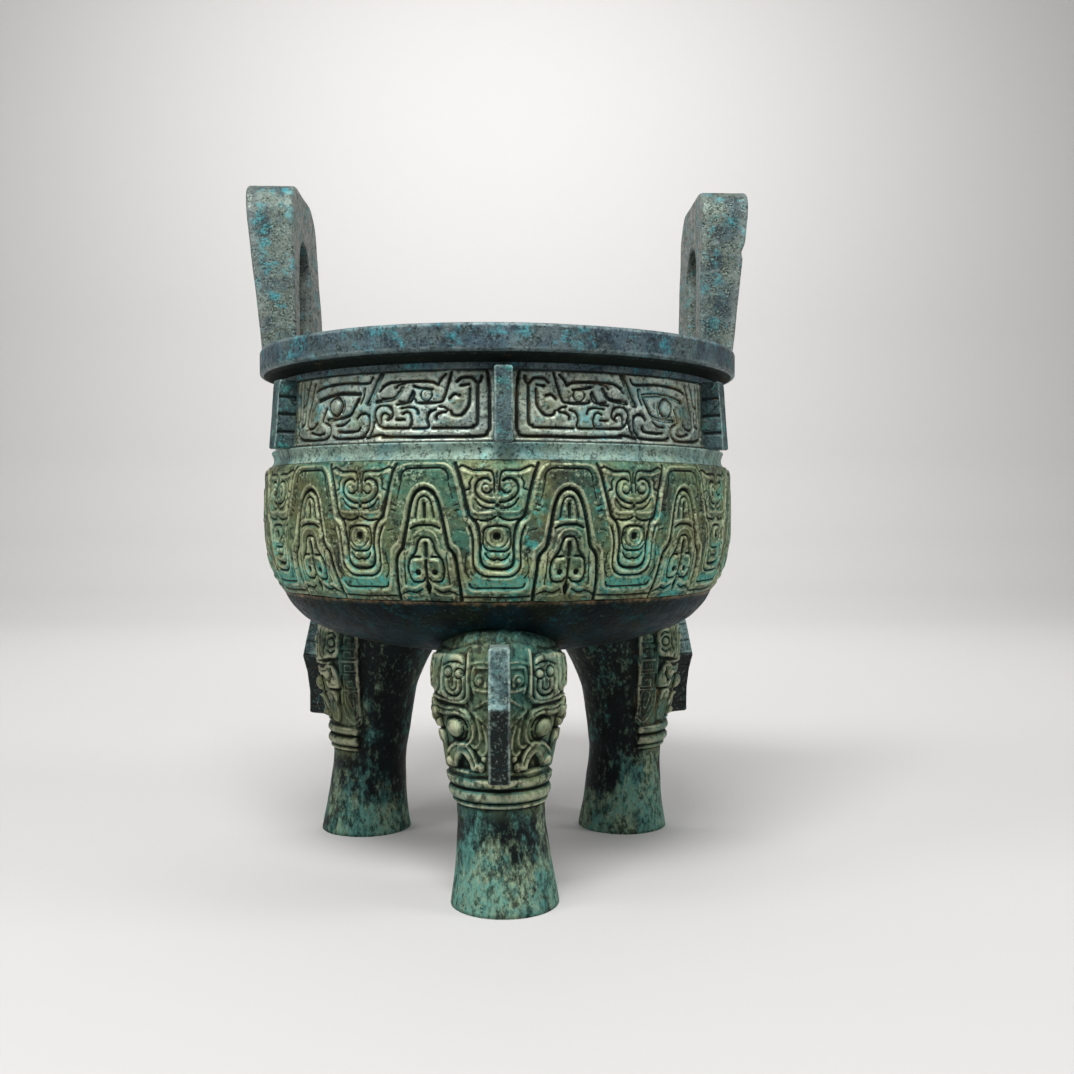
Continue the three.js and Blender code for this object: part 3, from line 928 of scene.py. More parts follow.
# Painted light and shade: the pale body colour is the lit upper facet and the near black skin colour the
# shaded lower facet.
LEG_FLANGE_PATINA_AND_LIGHT = Patina(
    "Leg flange patina, painted facet light and shade",
    body=tone(132, 162, 160), cloud=tone(48, 72, 74), crest=tone(176, 196, 186), cloud_share=1.0,
    skin=tone(10, 22, 22), crust=tone(54, 136, 138), crust_share=0.3, bloom=tone(150, 176, 160),
    bloom_share=0.26, crust_strength=0.65, crest_share=0.5, size=0.5, roughness=0.45, metal=0.25,
    seed=4.5,
)
COLLAR_PATINA = Patina(
    "Collar patina",
    body=tone(136, 166, 158), cloud=tone(88, 128, 128), crest=tone(196, 218, 202),
    moss=tone(150, 158, 122), moss_share=0.3, crust=tone(112, 188, 180), crust_share=0.36,
    bloom=tone(164, 190, 170), bloom_share=0.44, crust_strength=0.6, hollow_share=0.95, size=0.5,
    roughness=0.45, metal=0.3, seed=5.0,
)
BELLY_PATINA = Patina(
    "Belly patina",
    body=tone(58, 68, 56), cloud=tone(64, 116, 98), crest=tone(196, 202, 164), moss=tone(120, 122, 74),
    moss_share=0.5, hollow=tone(4, 12, 8), crust=tone(50, 168, 160), crust_share=0.4,
    bloom=tone(146, 164, 116), bloom_share=0.44, crust_strength=0.75, earth=tone(132, 112, 70),
    earth_share=0.3, speck=tone(170, 190, 160), speck_share=0.6, hollow_share=0.95, crest_share=0.55,
    size=0.75, roughness=0.42, metal=0.4, seed=6.0,
)
# The near black body is painted shade on the downward-facing underside, under its crust; the ochre crest
# colour is a painted highlight line along the ledge.
UNDERSIDE_PATINA_AND_SHADE = Patina(
    "Underside patina and painted shade",
    body=tone(2, 10, 14), cloud=tone(20, 30, 12), crest=tone(158, 134, 98), moss=tone(6, 34, 44),
    moss_share=0.8, crust=tone(24, 84, 92), crust_share=0.4, bloom=tone(50, 66, 36), bloom_share=0.24,
    crust_strength=0.6, speck=tone(70, 100, 90), speck_share=0.25, size=0.7, streak=1.6, roughness=0.4,
    shine=0.06, metal=0.0, seed=7.0,
)
LEG_PATINA = Patina(
    "Leg patina",
    body=tone(70, 84, 68), cloud=tone(56, 108, 98), crest=tone(210, 210, 176), moss=tone(112, 116, 72),
    moss_share=0.6, hollow=tone(4, 10, 6), skin=tone(6, 18, 20), crust=tone(84, 138, 128),
    crust_share=0.4, bloom=tone(156, 180, 148), bloom_share=0.4, crust_strength=0.8,
    earth=tone(150, 122, 76), earth_share=0.35, speck=tone(110, 140, 116), speck_share=0.4,
    hollow_share=0.95, crest_share=0.5, foot_crust=0.36, size=0.9, streak=0.55, roughness=0.42,
    shine=0.15, metal=0.1, seed=8.0,
)
INSIDE_PATINA = Patina(
    "Inside patina",
    body=tone(52, 70, 64), cloud=tone(70, 96, 82), crest=tone(120, 140, 126), crust=tone(84, 150, 134),
    crust_share=0.3, bloom_share=0.3, crust_strength=0.6, size=1.3, roughness=0.6, metal=0.1, seed=9.0,
)


# ---------------------------------------------------------------- the bowl


class Zone(Enum):
    """The parts of the bowl that have a finish of their own."""

    UNDERSIDE = 0
    COLLAR = 1
    RIM = 2
    INSIDE = 3
    SHADE = 4


# The underside, the tops of the belly's relief, and the neck, as (radius, height) from low to high.
UNDER_CURVE = (
    (0.0, 124.0), (40.0, 126.2), (73.0, 130.6), (98.0, 136.8), (115.4, 144.2), (123.2, 150.6),
    (128.0, 156.4),
)
BELLY_CURVE = (
    (132.6, 163.4), (134.5, 166.4), (138.1, 173.7), (140.4, 181.0), (141.7, 188.0), (142.7, 195.5),
    (142.9, 209.8), (142.5, 224.0), (142.0, 231.5), (139.8, 235.5),
)
NECK_CURVE = ((136.0, 245.0), (135.2, 254.0), (134.4, 268.0), (134.0, 282.4))
# How far the neck's frieze and flanges, and the belly's wave, are turned from true, in degrees.
NECK_TURN = 0.9
WAVE_TURN = -0.4


@dataclass
class Bowl:
    """The round body: its underside, collar, neck, rim and inside, as one turned shape."""

    segments: int = 240
    under_edge: Point = (131.2, 162.6)
    collar: Line = (
        (137.6, 235.0), (138.2, 235.4), (138.0, 236.2), (137.0, 238.0), (136.8, 240.0), (137.3, 242.0),
        (138.0, 243.4), (138.1, 244.2), (137.6, 244.8), (136.2, 245.1), (135.6, 245.4),
    )
    band: Line = ((133.7, 281.8), (134.3, 282.3), (134.4, 283.6), (134.2, 285.2))
    under_rim: Line = ((134.2, 286.3), (135.4, 287.3), (137.0, 287.9), (142.6, 289.7))
    rim_radius: float = 144.8
    rim_top: float = 304.0
    rim_low: float = 290.5
    rim_lip: float = 120.5
    rim_rounding: float = 1.6
    inside: Line = (
        (120.5, 299.5), (124.0, 292.5), (128.4, 286.0), (128.8, 268.0), (129.4, 250.0), (133.6, 238.0),
        (136.4, 222.0), (136.4, 204.0), (134.8, 188.0), (130.6, 173.0), (122.0, 161.0), (106.0, 149.2),
        (72.0, 136.6), (36.0, 131.4), (0.0, 129.5),
    )
    relief_backing: float = 2.6
    unevenness: float = 0.22
    # The heights of ledges marked as rubbed crests, with a painted highlight line along each.
    ledges: Sequence[float] = (162.6, 244.2)
    # The spans of height where painted shade darkens a joint between two parts, as under the rim.
    painted_shade_joints: Sequence[Point] = ((234.0, 235.6), (244.6, 245.6), (281.0, 282.0), (285.8, 289.4))
    # The edge marks: rubbed crests with a painted highlight, and the joints' painted shade.
    rubbed_and_highlit: float = 0.74
    dark: float = 0.1

    def _behind(self, curve: Line, low: float, high: float, rows: int) -> list[Point]:
        """The wall behind a band of relief, between two heights."""
        up = np.linspace(low, high, rows)
        return list(zip(along(curve, up) - self.relief_backing, up))

    def _rim(self) -> list[Point]:
        """The rim's outline: up its face, over its top and round its lip."""
        r, top, turn = self.rim_radius, self.rim_top, self.rim_rounding
        quarter = np.radians((0, 30, 60, 90))
        rim = [(r - 0.5, self.rim_low - 0.2), (r, self.rim_low + 0.6)]
        rim += [(r + 0.05, z) for z in np.linspace(self.rim_low + 2.5, top - 2.5, 5)]
        rim += [(r - turn * (1 - math.cos(a)), top - turn * (1 - math.sin(a))) for a in quarter]
        rim += [(x, top) for x in np.linspace(r - 4, self.rim_lip + 4, 6)]
        rim += [(self.rim_lip + turn * (1 - math.sin(a)), top - turn * (1 - math.cos(a))) for a in quarter]
        return rim

    def _edge(self, radius: float, z: float, zone: Zone) -> float:
        """How a point of the outline is marked: 0.5 is level, 1 a rubbed crest with a painted highlight and
        0 a cut darkened with painted shade.
        """
        corner = 2.2 * self.rim_rounding
        at_side = radius > self.rim_radius - corner or radius < self.rim_lip + corner
        rounded = z > self.rim_top - 1.2 * self.rim_rounding and at_side
        ledge = any(abs(z - height) < 0.5 for height in self.ledges)
        if rounded or ledge or abs(z - self.rim_low) < 0.9:
            return self.rubbed_and_highlit
        if zone is not Zone.INSIDE and any(low < z < high for low, high in self.painted_shade_joints):
            return self.dark
        return 0.5

    def _outline(self) -> tuple[list[Point], list[Zone], list[float]]:
        """The turned outline from the middle of the underside, up, over the rim and down inside."""
        belly_low, belly_high = BELLY_CURVE[0][1], BELLY_CURVE[-1][1]
        neck_low, neck_high = NECK_CURVE[0][1], NECK_CURVE[-1][1]
        parts = (
            (smooth_line((*UNDER_CURVE, self.under_edge), step=4.0), Zone.UNDERSIDE),
            (self._behind(BELLY_CURVE, belly_low + 0.8, belly_high - 1.2, 14), Zone.UNDERSIDE),
            (self.collar, Zone.COLLAR),
            (self._behind(NECK_CURVE, neck_low + 1.0, neck_high - 1.0, 6), Zone.COLLAR),
            (self.band, Zone.RIM),
            (self.under_rim, Zone.SHADE),
            (self._rim(), Zone.RIM),
            (smooth_line(self.inside, step=5.0), Zone.INSIDE),
        )
        outline = [(float(radius), float(z)) for points, _ in parts for radius, z in points]
        zones = [zone for points, zone in parts for _ in points]
        edges = [self._edge(*point, zone) for point, zone in zip(outline, zones)]
        return outline, zones, edges

    def shape(self) -> Shape:
        """Turns the outline round the axis, with the slight unevenness of a casting."""
        outline, zones, edges = self._outline()
        line = np.asarray(outline)
        rows = len(line) - 2
        angle = np.linspace(0.0, 2 * math.pi, self.segments, endpoint=False)
        wave = np.sin(3 * angle + 0.7) * 0.5 + np.sin(5 * angle + 2.1) * 0.35 + np.sin(11 * angle) * 0.25
        across, up = line[1:-1, :1], line[1:-1, 1:]
        drift = self.unevenness * wave * smoothstep(20, 110, across)
        lift = self.unevenness * np.roll(wave, self.segments // 6) * smoothstep(286, 300, up)
        points = around_axis(angle + 0 * drift, across + drift, up + lift).reshape(-1, 3)
        low, high = len(points), len(points) + 1
        points = np.vstack([points, [[0, 0, line[0, 1]], [0, 0, line[-1, 1]]]])
        faces = grid_faces(rows, self.segments, loop_columns=True)
        materials = [zones[1 + i // self.segments + 1].value for i in range(len(faces))]
        last = (rows - 1) * self.segments
        for i in range(self.segments):
            j = (i + 1) % self.segments
            faces.append((low, j, i))
            faces.append((high, last + i, last + j))
            materials += [Zone.UNDERSIDE.value, Zone.INSIDE.value]
        edge = np.concatenate([np.repeat(np.asarray(edges[1:-1]), self.segments), [0.5, 0.5]])
        return Shape(points, faces, edge, zones=np.asarray(materials))

    def build(self, finishes: dict[Zone, bpy.types.Material]) -> bpy.types.Object:
        """Makes the bowl and dresses each of its zones."""
        mesh = mesh_of("bowl", self.shape().facing_out(), shift=True)
        for zone in Zone:
            mesh.materials.append(finishes[zone])
        shade(mesh, Shading.CREASED, 30.0)
        piece = linked("bowl", mesh)
        hand_over(piece)
        return piece


# ---------------------------------------------------------------- bands of relief


@dataclass(frozen=True)
class Pool:
    """Where crust has gathered on a unit, mirrored with it.

    Args:
        centre: Its middle, as (distance along, height).
        reach: How far it spreads along and up.
        amount: How much more crust it has; less where negative.
    """

    centre: tuple[float, float]
    reach: tuple[float, float]
    amount: float

    def share(self, along_: np.ndarray, up: np.ndarray) -> np.ndarray:
        """The extra crust over a grid."""
        sideways = (along_ - self.centre[0]) / self.reach[0]
        upwards = (up - self.centre[1]) / self.reach[1]
        return self.amount * np.exp(-(sideways**2) - upwards**2)


@dataclass
class ReliefBand:
    """A ring of mirrored relief units that backs onto the bowl.

    Args:
        half_length: Half of one unit along the bowl.
        unit_angle: How much of the round one unit takes, in degrees.
        curve: The outline that it follows, as (radius, height).
        cell: The spacing of its points.
        backing: How thick the ring is behind its surface.
        back_rows: How many rows of points its back has, which follows the surface.
        back_inset: How far its back stops short of its top and bottom.
    """

    half_length: float
    unit_angle: float
    curve: Line
    cell: float
    backing: float = 3.4
    back_rows: int = 8
    back_inset: float = 0.6

    def unit(self, marks: Sequence[Mark], sunk: float, pools: Sequence[Pool]) -> Shape:
        """Makes one unit, mirrored about its middle, as an open-ended block.

        Args:
            marks: The drawing of its right half.
            sunk: How far the level surface lies under the outline of the bowl.
            pools: Where crust has gathered.

        Returns:
            The shape, centred at the front.
        """
        low, high = self.curve[0][1], self.curve[-1][1]
        half_columns = round(self.half_length / self.cell) + 1
        columns = 2 * half_columns - 1
        rows = round((high - low) / self.cell) + 1
        up = np.linspace(low, high, rows)
        right = ReliefField(np.linspace(0.0, self.half_length, half_columns), up).draw(marks).heights()
        heights = np.hstack([right[:, :0:-1], right])
        angle = np.linspace(-0.5, 0.5, columns) * math.radians(self.unit_angle)
        radius = along(self.curve, up)[:, None] - sunk + heights
        outer = around_axis(angle + 0 * radius, radius, up[:, None])
        back_up = np.linspace(high - self.back_inset, low + self.back_inset, self.back_rows)
        back = along(self.curve, back_up)[:, None] - self.backing + 0 * angle
        inner = around_axis(angle + 0 * back, back, back_up[:, None])
        points = np.concatenate([outer, inner]).reshape(-1, 3)
        faces = grid_faces(rows + self.back_rows, columns, loop_rows=True)
        edge = np.vstack([edge_mask(heights, self.cell), np.full_like(back, 0.5)])
        from_middle = np.abs(np.linspace(-self.half_length, self.half_length, columns))
        crusted = np.zeros_like(heights)
        for pool in pools:
            crusted += pool.share(from_middle, up[:, None])
        crusted = np.vstack([crusted, np.zeros_like(back)])
        return Shape(points, faces, edge.ravel(), crusted=crusted.ravel())


def mirrored(offset: float, marks: Iterable[Mark]) -> list:
    """Turns marks measured back from a far centre line into marks measured from the near one."""
    made = []
    for mark in marks:
        if isinstance(mark, Boss):
            made.append(replace(mark, centre=(offset - mark.centre[0], mark.centre[1])))
        else:
            made.append(replace(mark, points=[(offset - x, z) for x, z in mark.points]))
    return made


def lifted(foot: float, marks: Iterable[Stroke | Boss]) -> list:
    """Moves marks measured from the foot of a band up to their height on the vessel."""
    made = []
    for mark in marks:
        if isinstance(mark, Boss):
            made.append(replace(mark, centre=(mark.centre[0], mark.centre[1] + foot)))
        else:
            made.append(replace(mark, points=[(x, z + foot) for x, z in mark.points]))
    return made


@dataclass
class BellyWave:
    """The wave band: a ribbon that swings round the belly, with a motif in every trough and arch."""

    units: int = 12
    sectors: int = 3
    first_seam: float = 45.0
    half_length: float = 37.2
    cell: float = 0.56
    sunk: float = 0.5
    wander: float = 1.6 * MM
    pools: Sequence[Pool] = (
        Pool((0.0, 172.5), (17.0, 4.5), 0.9),
        Pool((7.0, 184.0), (5.0, 6.0), 0.6),
        Pool((0.0, 190.5), (8.0, 3.0), 0.6),
        Pool((30.0, 176.0), (7.0, 8.0), 0.35),
        Pool((8.0, 220.0), (8.0, 9.0), 0.15),
        Pool((30.0, 229.0), (10.0, 7.0), -0.4),
        Pool((26.0, 205.0), (5.0, 14.0), -0.2),
    )

    def ribbon(self) -> list:
        """The ribbon's raised edges and the cuts beside them."""
        return [
            ridge((0, 177.9), (5, 178), (9, 180), (10.9, 184), (10.8, 190.5), (11.3, 197),
                (12.9, 202.4), (16.2, 205.5), (16.9, 208), (19.3, 219), (21.6, 228), (24.5, 232.2),
                (28, 233.5), (37.2, 233.6), width=1.7, height=0.75),
            ridge((0, 174.9), (7, 175.3), (11.4, 177.6), (13.1, 182), (13.2, 190), (13.8, 196.4),
                (15.5, 201.4)),
            groove((0, 180.4), (4.3, 180.6), (7.4, 182.2), (8.6, 185.4), (8.5, 191), (9, 198.4),
                (10.8, 204), (13.8, 207), (14.9, 210), (17.1, 220), (19.2, 228.5), (21.2, 233.6),
                width=1.9, depth=1.9),
            groove((0, 176.4), (6.5, 176.7), (10.6, 179.2), (12.1, 183), (12, 190.4), (12.5, 196.6),
                (14.2, 202), width=1.1),
            ridge((0, 168.4), (11.6, 168.7), (15.2, 170.4), (17, 175.7), (18.3, 183), (19, 189.2),
                (20.5, 191.5), (23, 193.6), (24.2, 197), (26, 205), (28, 214), (30.5, 219.5),
                (33.5, 222.3), (37.2, 223.5), width=1.6, height=0.7),
            groove((0, 170.5), (12.6, 170.7), (14.6, 173), width=1.0, depth=0.8),
            groove((19.2, 163.4), (19.8, 172), (20.6, 180), (21.4, 186), (23, 189), (25.2, 191.6),
                (26.4, 197), (28, 205), (29.9, 213.6), (32.2, 218.4), (35, 220.6), (37.2, 221.1),
                width=2.2, depth=2.2),
            ridge((23.2, 164.6), (24, 172), (24.6, 180), (25.6, 186.4), (28.2, 190), width=1.3),
            groove((24.2, 225.6), (25.2, 228.8), (28.2, 231), (37.2, 231.2), width=1.1),
            groove((22.6, 216), (24.8, 225.6), width=0.8, depth=0.7),
            groove((0, 165.6), (18, 165.8)),
            groove((19.2, 210.4), (21.6, 209.8), width=0.9, depth=0.9),
            groove((19.8, 213.2), (22, 212.4), width=0.8, depth=0.7),
            groove((16.8, 199.8), (20.4, 200.6), width=0.8, depth=0.6),
            groove((15.4, 188.4), (16.2, 179.6), (14.2, 175.8), width=0.8, depth=0.6),
        ]

    def arch(self) -> list:
        """The stacked arches and curls between two troughs, measured from the arch's middle."""
        return [
            ridge((0, 219), (3.4, 217.6), (5.6, 213.6), (7.6, 206.4)),
            groove((0, 217.4), (2.6, 216), (3.9, 212.6), (5, 206.6), depth=1.3),
            ridge((0, 215.9), (1.5, 215), (2.3, 212), (3, 206.2), width=1.1),
            groove((0, 213.4), (0, 207), width=2.0, depth=1.8),
            ridge((0, 205), (3.8, 204.7), (7.8, 203.6), width=1.6, height=0.8),
            groove((0, 202.9), (4, 202.6), (7.6, 201.2), width=1.3, depth=1.5),
            ridge((0, 200.6), (3.8, 199.4), (6.4, 196), (7.6, 190.6), (9.8, 186.6)),
            groove((0, 196.9), (2.7, 196.1), (4.3, 193), (5.2, 189.6), (7.9, 186), width=1.4, depth=1.5),
            ridge((0, 195), (1.9, 194.2), (2.9, 190.6), (3.1, 186.2), width=1.1),
            groove((0, 193.6), (0, 187.2), width=2.6, depth=1.6),
            groove((3, 186.8), (7.7, 186), (9.5, 182.6), (9.5, 177), (7.7, 173.8), (3, 173.8),
                (1.2, 175.7), width=1.3, depth=1.6),
            ridge((2.4, 185), (6.4, 184.2), (7.8, 181.4), (7.6, 177.2), (5.8, 175.6), (3, 176),
                width=1.4, height=0.7),
            Boss((4.6, 178.6), 1.7, -1.7),
            groove((0, 185), (0, 176.5), (0, 170.8), (0, 167.4), width=1.5, depth=1.8),
            Patch(((0, 173.6), (1.9, 170.8), (0, 167.6), (-1.9, 170.8)), -1.6, 1),
            ridge((16.2, 168.4), (12.4, 171), (7.7, 170.3), (4.2, 171.8), width=1.4, height=0.8),
            groove((16.8, 166.6), (11.8, 168.6), (7.7, 168), (3.4, 169.8), width=1.0),
            groove((11.2, 188.4), (12, 178), (12.6, 172.6), width=1.0, depth=0.9),
            ridge((4.4, 167), (9, 166.2), (14.6, 166.6), width=1.0),
        ]

    def trough(self) -> list:
        """The beast's face in each trough, measured from its middle."""
        return [
            groove((19, 231.6), (17.2, 232.3), (13.5, 230.9), (11.1, 230.2), (5.1, 230.4), (2.5, 229.5),
                (1.4, 226), (1.2, 219.5), depth=1.3),
            ridge((17.5, 230), (13, 228.6), (10, 228.2), (5.4, 228.4), width=1.0),
            groove((3.2, 225.2), (5, 226.4), (7.4, 226.2), (10.2, 224), (10.9, 219.8), (8.9, 216.5),
                (5.1, 214.4), (1.4, 214), width=1.4, depth=1.5),
            ridge((3.4, 223.4), (5.4, 224.7), (7.8, 223.4), (8.6, 220.4), (7.2, 218), (4.6, 216.6),
                (1.2, 216.2), width=1.4, height=0.6),
            Boss((5.6, 221.3), 1.9, 0.9),
            groove((2.3, 220.6), (3.6, 219.2), (5.4, 218.8), (6.8, 219.8), width=1.0, depth=1.2),
            groove((12.4, 226.6), (13.9, 224), (13.6, 221.4), (16, 220.2), width=1.0),
            groove((11.1, 215.8), (8.8, 212.8), (5.6, 211.2), (1.8, 210.9), width=1.1, depth=1.3),
            ridge((1.6, 209.3), (4.4, 208.9), (10.7, 209.2), (13, 211), (13.5, 215.6), (12.4, 217.6),
                width=1.3, height=0.7),
            groove((0.8, 206.9), (3.2, 205.6), (7, 205), (11, 205.6), width=1.3, depth=1.5),
            ridge((0, 203.4), (4.4, 203.3), (7.4, 202), (8.6, 199), (8.4, 193.4), height=0.6),
            groove((0, 202), (4, 201.9), (6.3, 200.6), (7.1, 197.6), (6.9, 192.4), (4.8, 189.8),
                (0, 189.2), width=1.1, depth=1.4),
            ring((0, 196.4), 4.4, 1.5, 0.9),
            Boss((0, 197), 2.2, -2.2),
            ring((0, 196.8), 6, 0.8, -0.7),
            ridge((0, 190.8), (3.6, 191.2), (6, 193.4), height=0.9),
            ridge((8.2, 189.4), (6.6, 185.4), (4, 183), (0, 182.4), width=1.3, height=0.7),
            groove((6.2, 188.2), (4.6, 186), (1.8, 185), (0, 185.6), depth=1.3),
            Boss((2.6, 187.6), 1.2, 0.9),
            groove((0, 229), (0, 224), width=1.4, depth=1.2),
            Boss((0, 212.4), 1.4, -1.2),
        ]

    def build(self, copies: CopiesAround, finish: bpy.types.Material) -> list[bpy.types.Object]:
        """Makes the band in equal sectors, each a closed piece."""
        band = ReliefBand(self.half_length, 360.0 / self.units, BELLY_CURVE, self.cell)
        marks = self.trough() + mirrored(self.half_length, self.arch()) + self.ribbon()
        shape = band.unit(marks, self.sunk, self.pools).facing_out()
        each = self.units // self.sectors
        step = 2 * math.pi / self.units
        pieces = []
        for number in range(self.sectors):
            name = f"belly_wave_{number + 1}"
            first = math.radians(self.first_seam + WAVE_TURN) + step * (0.5 + number * each)
            piece = copies.apply(
                name,
                shape,
                Count=each,
                First_Angle=first,
                Step_Angle=step,
                Wander=self.wander,
                Wander_Scale=42.0,
                Seed=2.0,
                Material=finish,
            )
            shade(piece.data, Shading.SMOOTH)
            close_ends(piece)
            hand_over(piece)
            pieces.append(piece)
        return pieces


@dataclass
class NeckFrieze:
    """The frieze of facing dragons, mirrored about every neck flange."""

    pairs: int = 3
    half_length: float = 140.8
    cell: float = 0.62
    foot: float = 246.6
    sunk: float = 0.4
    wander: float = 1.0 * MM
    pools: Sequence[Pool] = (
        Pool((38.0, 260.0), (22.0, 10.0), 0.25),
        Pool((86.0, 270.0), (22.0, 12.0), 0.2),
    )

    def panel(self) -> list:
        """One panel, with heights measured from the foot of the frieze."""
        lines = (
            ((8.4, 35.5), (7.2, 27.5), (6.8, 7.5), (7.6, 3.5), (10.4, 1.2), (27, 1), (45.5, 1),
             (64.5, 1.5)),
            ((8.2, 35.6), (27.5, 36), (46.5, 35.6), (66, 35.2), (90, 35.6), (112, 35.4), (130.4, 35.4)),
            ((10.9, 32), (11.9, 29), (13, 26.5), (13, 9), (15, 6.5), (17.5, 5.5), (36.5, 5.5)),
            ((13.4, 28.4), (16, 31), (21, 31), (23.5, 29)),
            ((17.5, 27.6), (21.5, 27)),
            ((17, 25.5), (17.3, 18), (19, 14.5), (21.5, 12), (25.5, 12), (27, 14)),
            ((22.2, 22), (25, 22.6), (27.5, 20.5)),
            ((26.5, 34), (27.5, 30), (29, 25), (30.5, 20.8), (33, 18.6), (44.5, 18.5), (46.2, 20.2)),
            ((29.5, 33), (32, 30.6), (33.5, 28)),
            ((33.5, 27.5), (37, 29.1), (44.5, 29.6), (59, 29.5), (63, 28.5), (65.5, 27.5)),
            ((47.5, 24.5), (49.5, 21), (51.5, 18.5), (56.5, 18)),
            ((52, 29), (56, 28), (57, 26.6)),
            ((56, 24.5), (57.4, 21.6), (65.5, 21)),
            ((29.5, 13.6), (31.7, 13.5), (34.5, 12), (34.5, 10)),
            ((35, 15), (38.2, 13.5), (39.5, 10), (38.7, 7.2), (39.7, 5.6), (47.5, 5.5)),
            ((28.5, 14.6), (30.5, 16), (33, 16.5)),
            ((44.5, 13), (45.7, 15.4), (49.5, 16.4), (54, 16)),
            ((53, 13), (51, 14), (49, 13), (48, 9.6), (48.6, 6.7), (50.7, 5.6), (64.5, 6)),
            ((52, 10), (56, 10)),
            ((62.5, 17.4), (60, 16.4), (59, 12), (61.6, 10)),
            ((71.5, 32.5), (74.5, 29.7), (88.5, 30.6), (102, 30.1), (110.5, 29.1), (115, 27.5)),
            ((76.5, 27), (77.2, 23), (79, 19.5)),
            ((80, 24.6), (90.5, 25.5), (103, 24.6), (111.5, 23)),
            ((91, 21), (90.7, 17), (92, 14.5)),
            ((104.5, 18), (106.5, 14.5), (107.7, 11.5)),
            ((120.5, 33), (123, 28), (124.7, 22.5), (127, 20.5)),
            ((73, 13), (73, 6.5), (75, 3.4), (77.5, 1.4), (93.5, 1.2), (98.5, 2.5)),
            ((73, 11.5), (75.4, 13.8), (79, 13.5), (81, 11.5)),
            ((86.5, 11), (90.5, 8.6), (95.5, 8.2)),
            ((78.5, 6.5), (80.7, 5), (89, 4.6), (94, 5)),
            ((106, 10.4), (101.7, 8.5), (100.7, 4.6), (103, 2), (108, 1.2), (123.5, 1.5), (130.6, 3.4),
             (131.6, 8)),
            ((106, 4.6), (111, 4), (118, 5.5)),
            ((125.5, 17), (125.6, 11.2), (129, 9.2)),
            ((69.4, 9), (69.3, 14.2), (67.6, 16.8), (65, 17.7), (61.6, 17), (59.8, 15.2)),
            ((65.6, 8.6), (65.6, 12), (64, 13.6), (61.4, 12.6), (60.6, 10.4)),
            ((55.5, 19.6), (51, 18.8), (48.2, 19.8), (46.8, 23.4)),
            ((60, 29.5), (63.5, 28), (67, 25)),
            ((59, 6), (63.5, 6), (67.5, 8), (69, 11), (70.5, 5.8), (72, 3)),
            ((59, 1.2), (61.5, 1.5), (66.5, 2.5), (74, 1.2)),
            ((115.4, 31.8), (117.6, 27), (119.4, 21), (121.6, 15.6), (121.8, 8.4), (116, 8.2),
             (112.6, 10.6)),
            ((130.6, 34.4), (131.8, 28), (131.6, 14)),
            ((127.6, 31.6), (128.2, 25), (129, 13.6)),
            ((36.8, 25.4), (43.6, 26.2), (47, 27.2)),
        )
        wide = (
            ((65.2, 34.4), (67.6, 29.5), (70.2, 24), (73.4, 18.8)),
            ((66.8, 34.4), (69, 29.5), (71.6, 24), (74.5, 19)),
            ((68.6, 19.6), (60, 20.8), (56.4, 22.4), (53.8, 26.4)),
            ((79.6, 24.2), (90.5, 25.3), (103, 24.4), (111.5, 22.8)),
            ((80.5, 22), (83.5, 17.5), (86.5, 13.6), (95.5, 12), (104, 12)),
        )
        marks = [groove(*points, width=2.0, depth=1.9) for points in lines]
        marks += [groove(*points, width=3.0, depth=2.3) for points in wide]
        marks += [
            ring((40, 22.6), 3.1, 1.2, -1.2), Boss((40, 22.6), 1.6, 0.6),
            ring((97.5, 18.6), 4.9, 2.4, -2.2), Boss((97.5, 18.6), 3.6, 0.7),
        ]
        marks += [
            ridge((6, -0.6), (70, -0.5), (136, -0.6), width=1.1),
            groove((5, 34.8), (70, 35), (136, 34.8), depth=0.9),
        ]
        return lifted(self.foot, marks)

    def build(self, copies: CopiesAround, finish: bpy.types.Material) -> bpy.types.Object:
        """Makes the frieze as one closed ring."""
        band = ReliefBand(self.half_length, 360.0 / self.pairs, NECK_CURVE, self.cell, back_rows=4)
        shape = band.unit(self.panel(), self.sunk, self.pools).facing_out()
        piece = copies.apply(
            "neck_frieze",
            shape,
            Count=self.pairs,
            First_Angle=math.radians(NECK_TURN),
            Step_Angle=2 * math.pi / self.pairs,
            Wander=self.wander,
            Wander_Scale=38.0,
            Seed=5.0,
            Material=finish,
        )
        shade(piece.data, Shading.SMOOTH)
        hand_over(piece)
        return piece


# ---------------------------------------------------------------- flanges


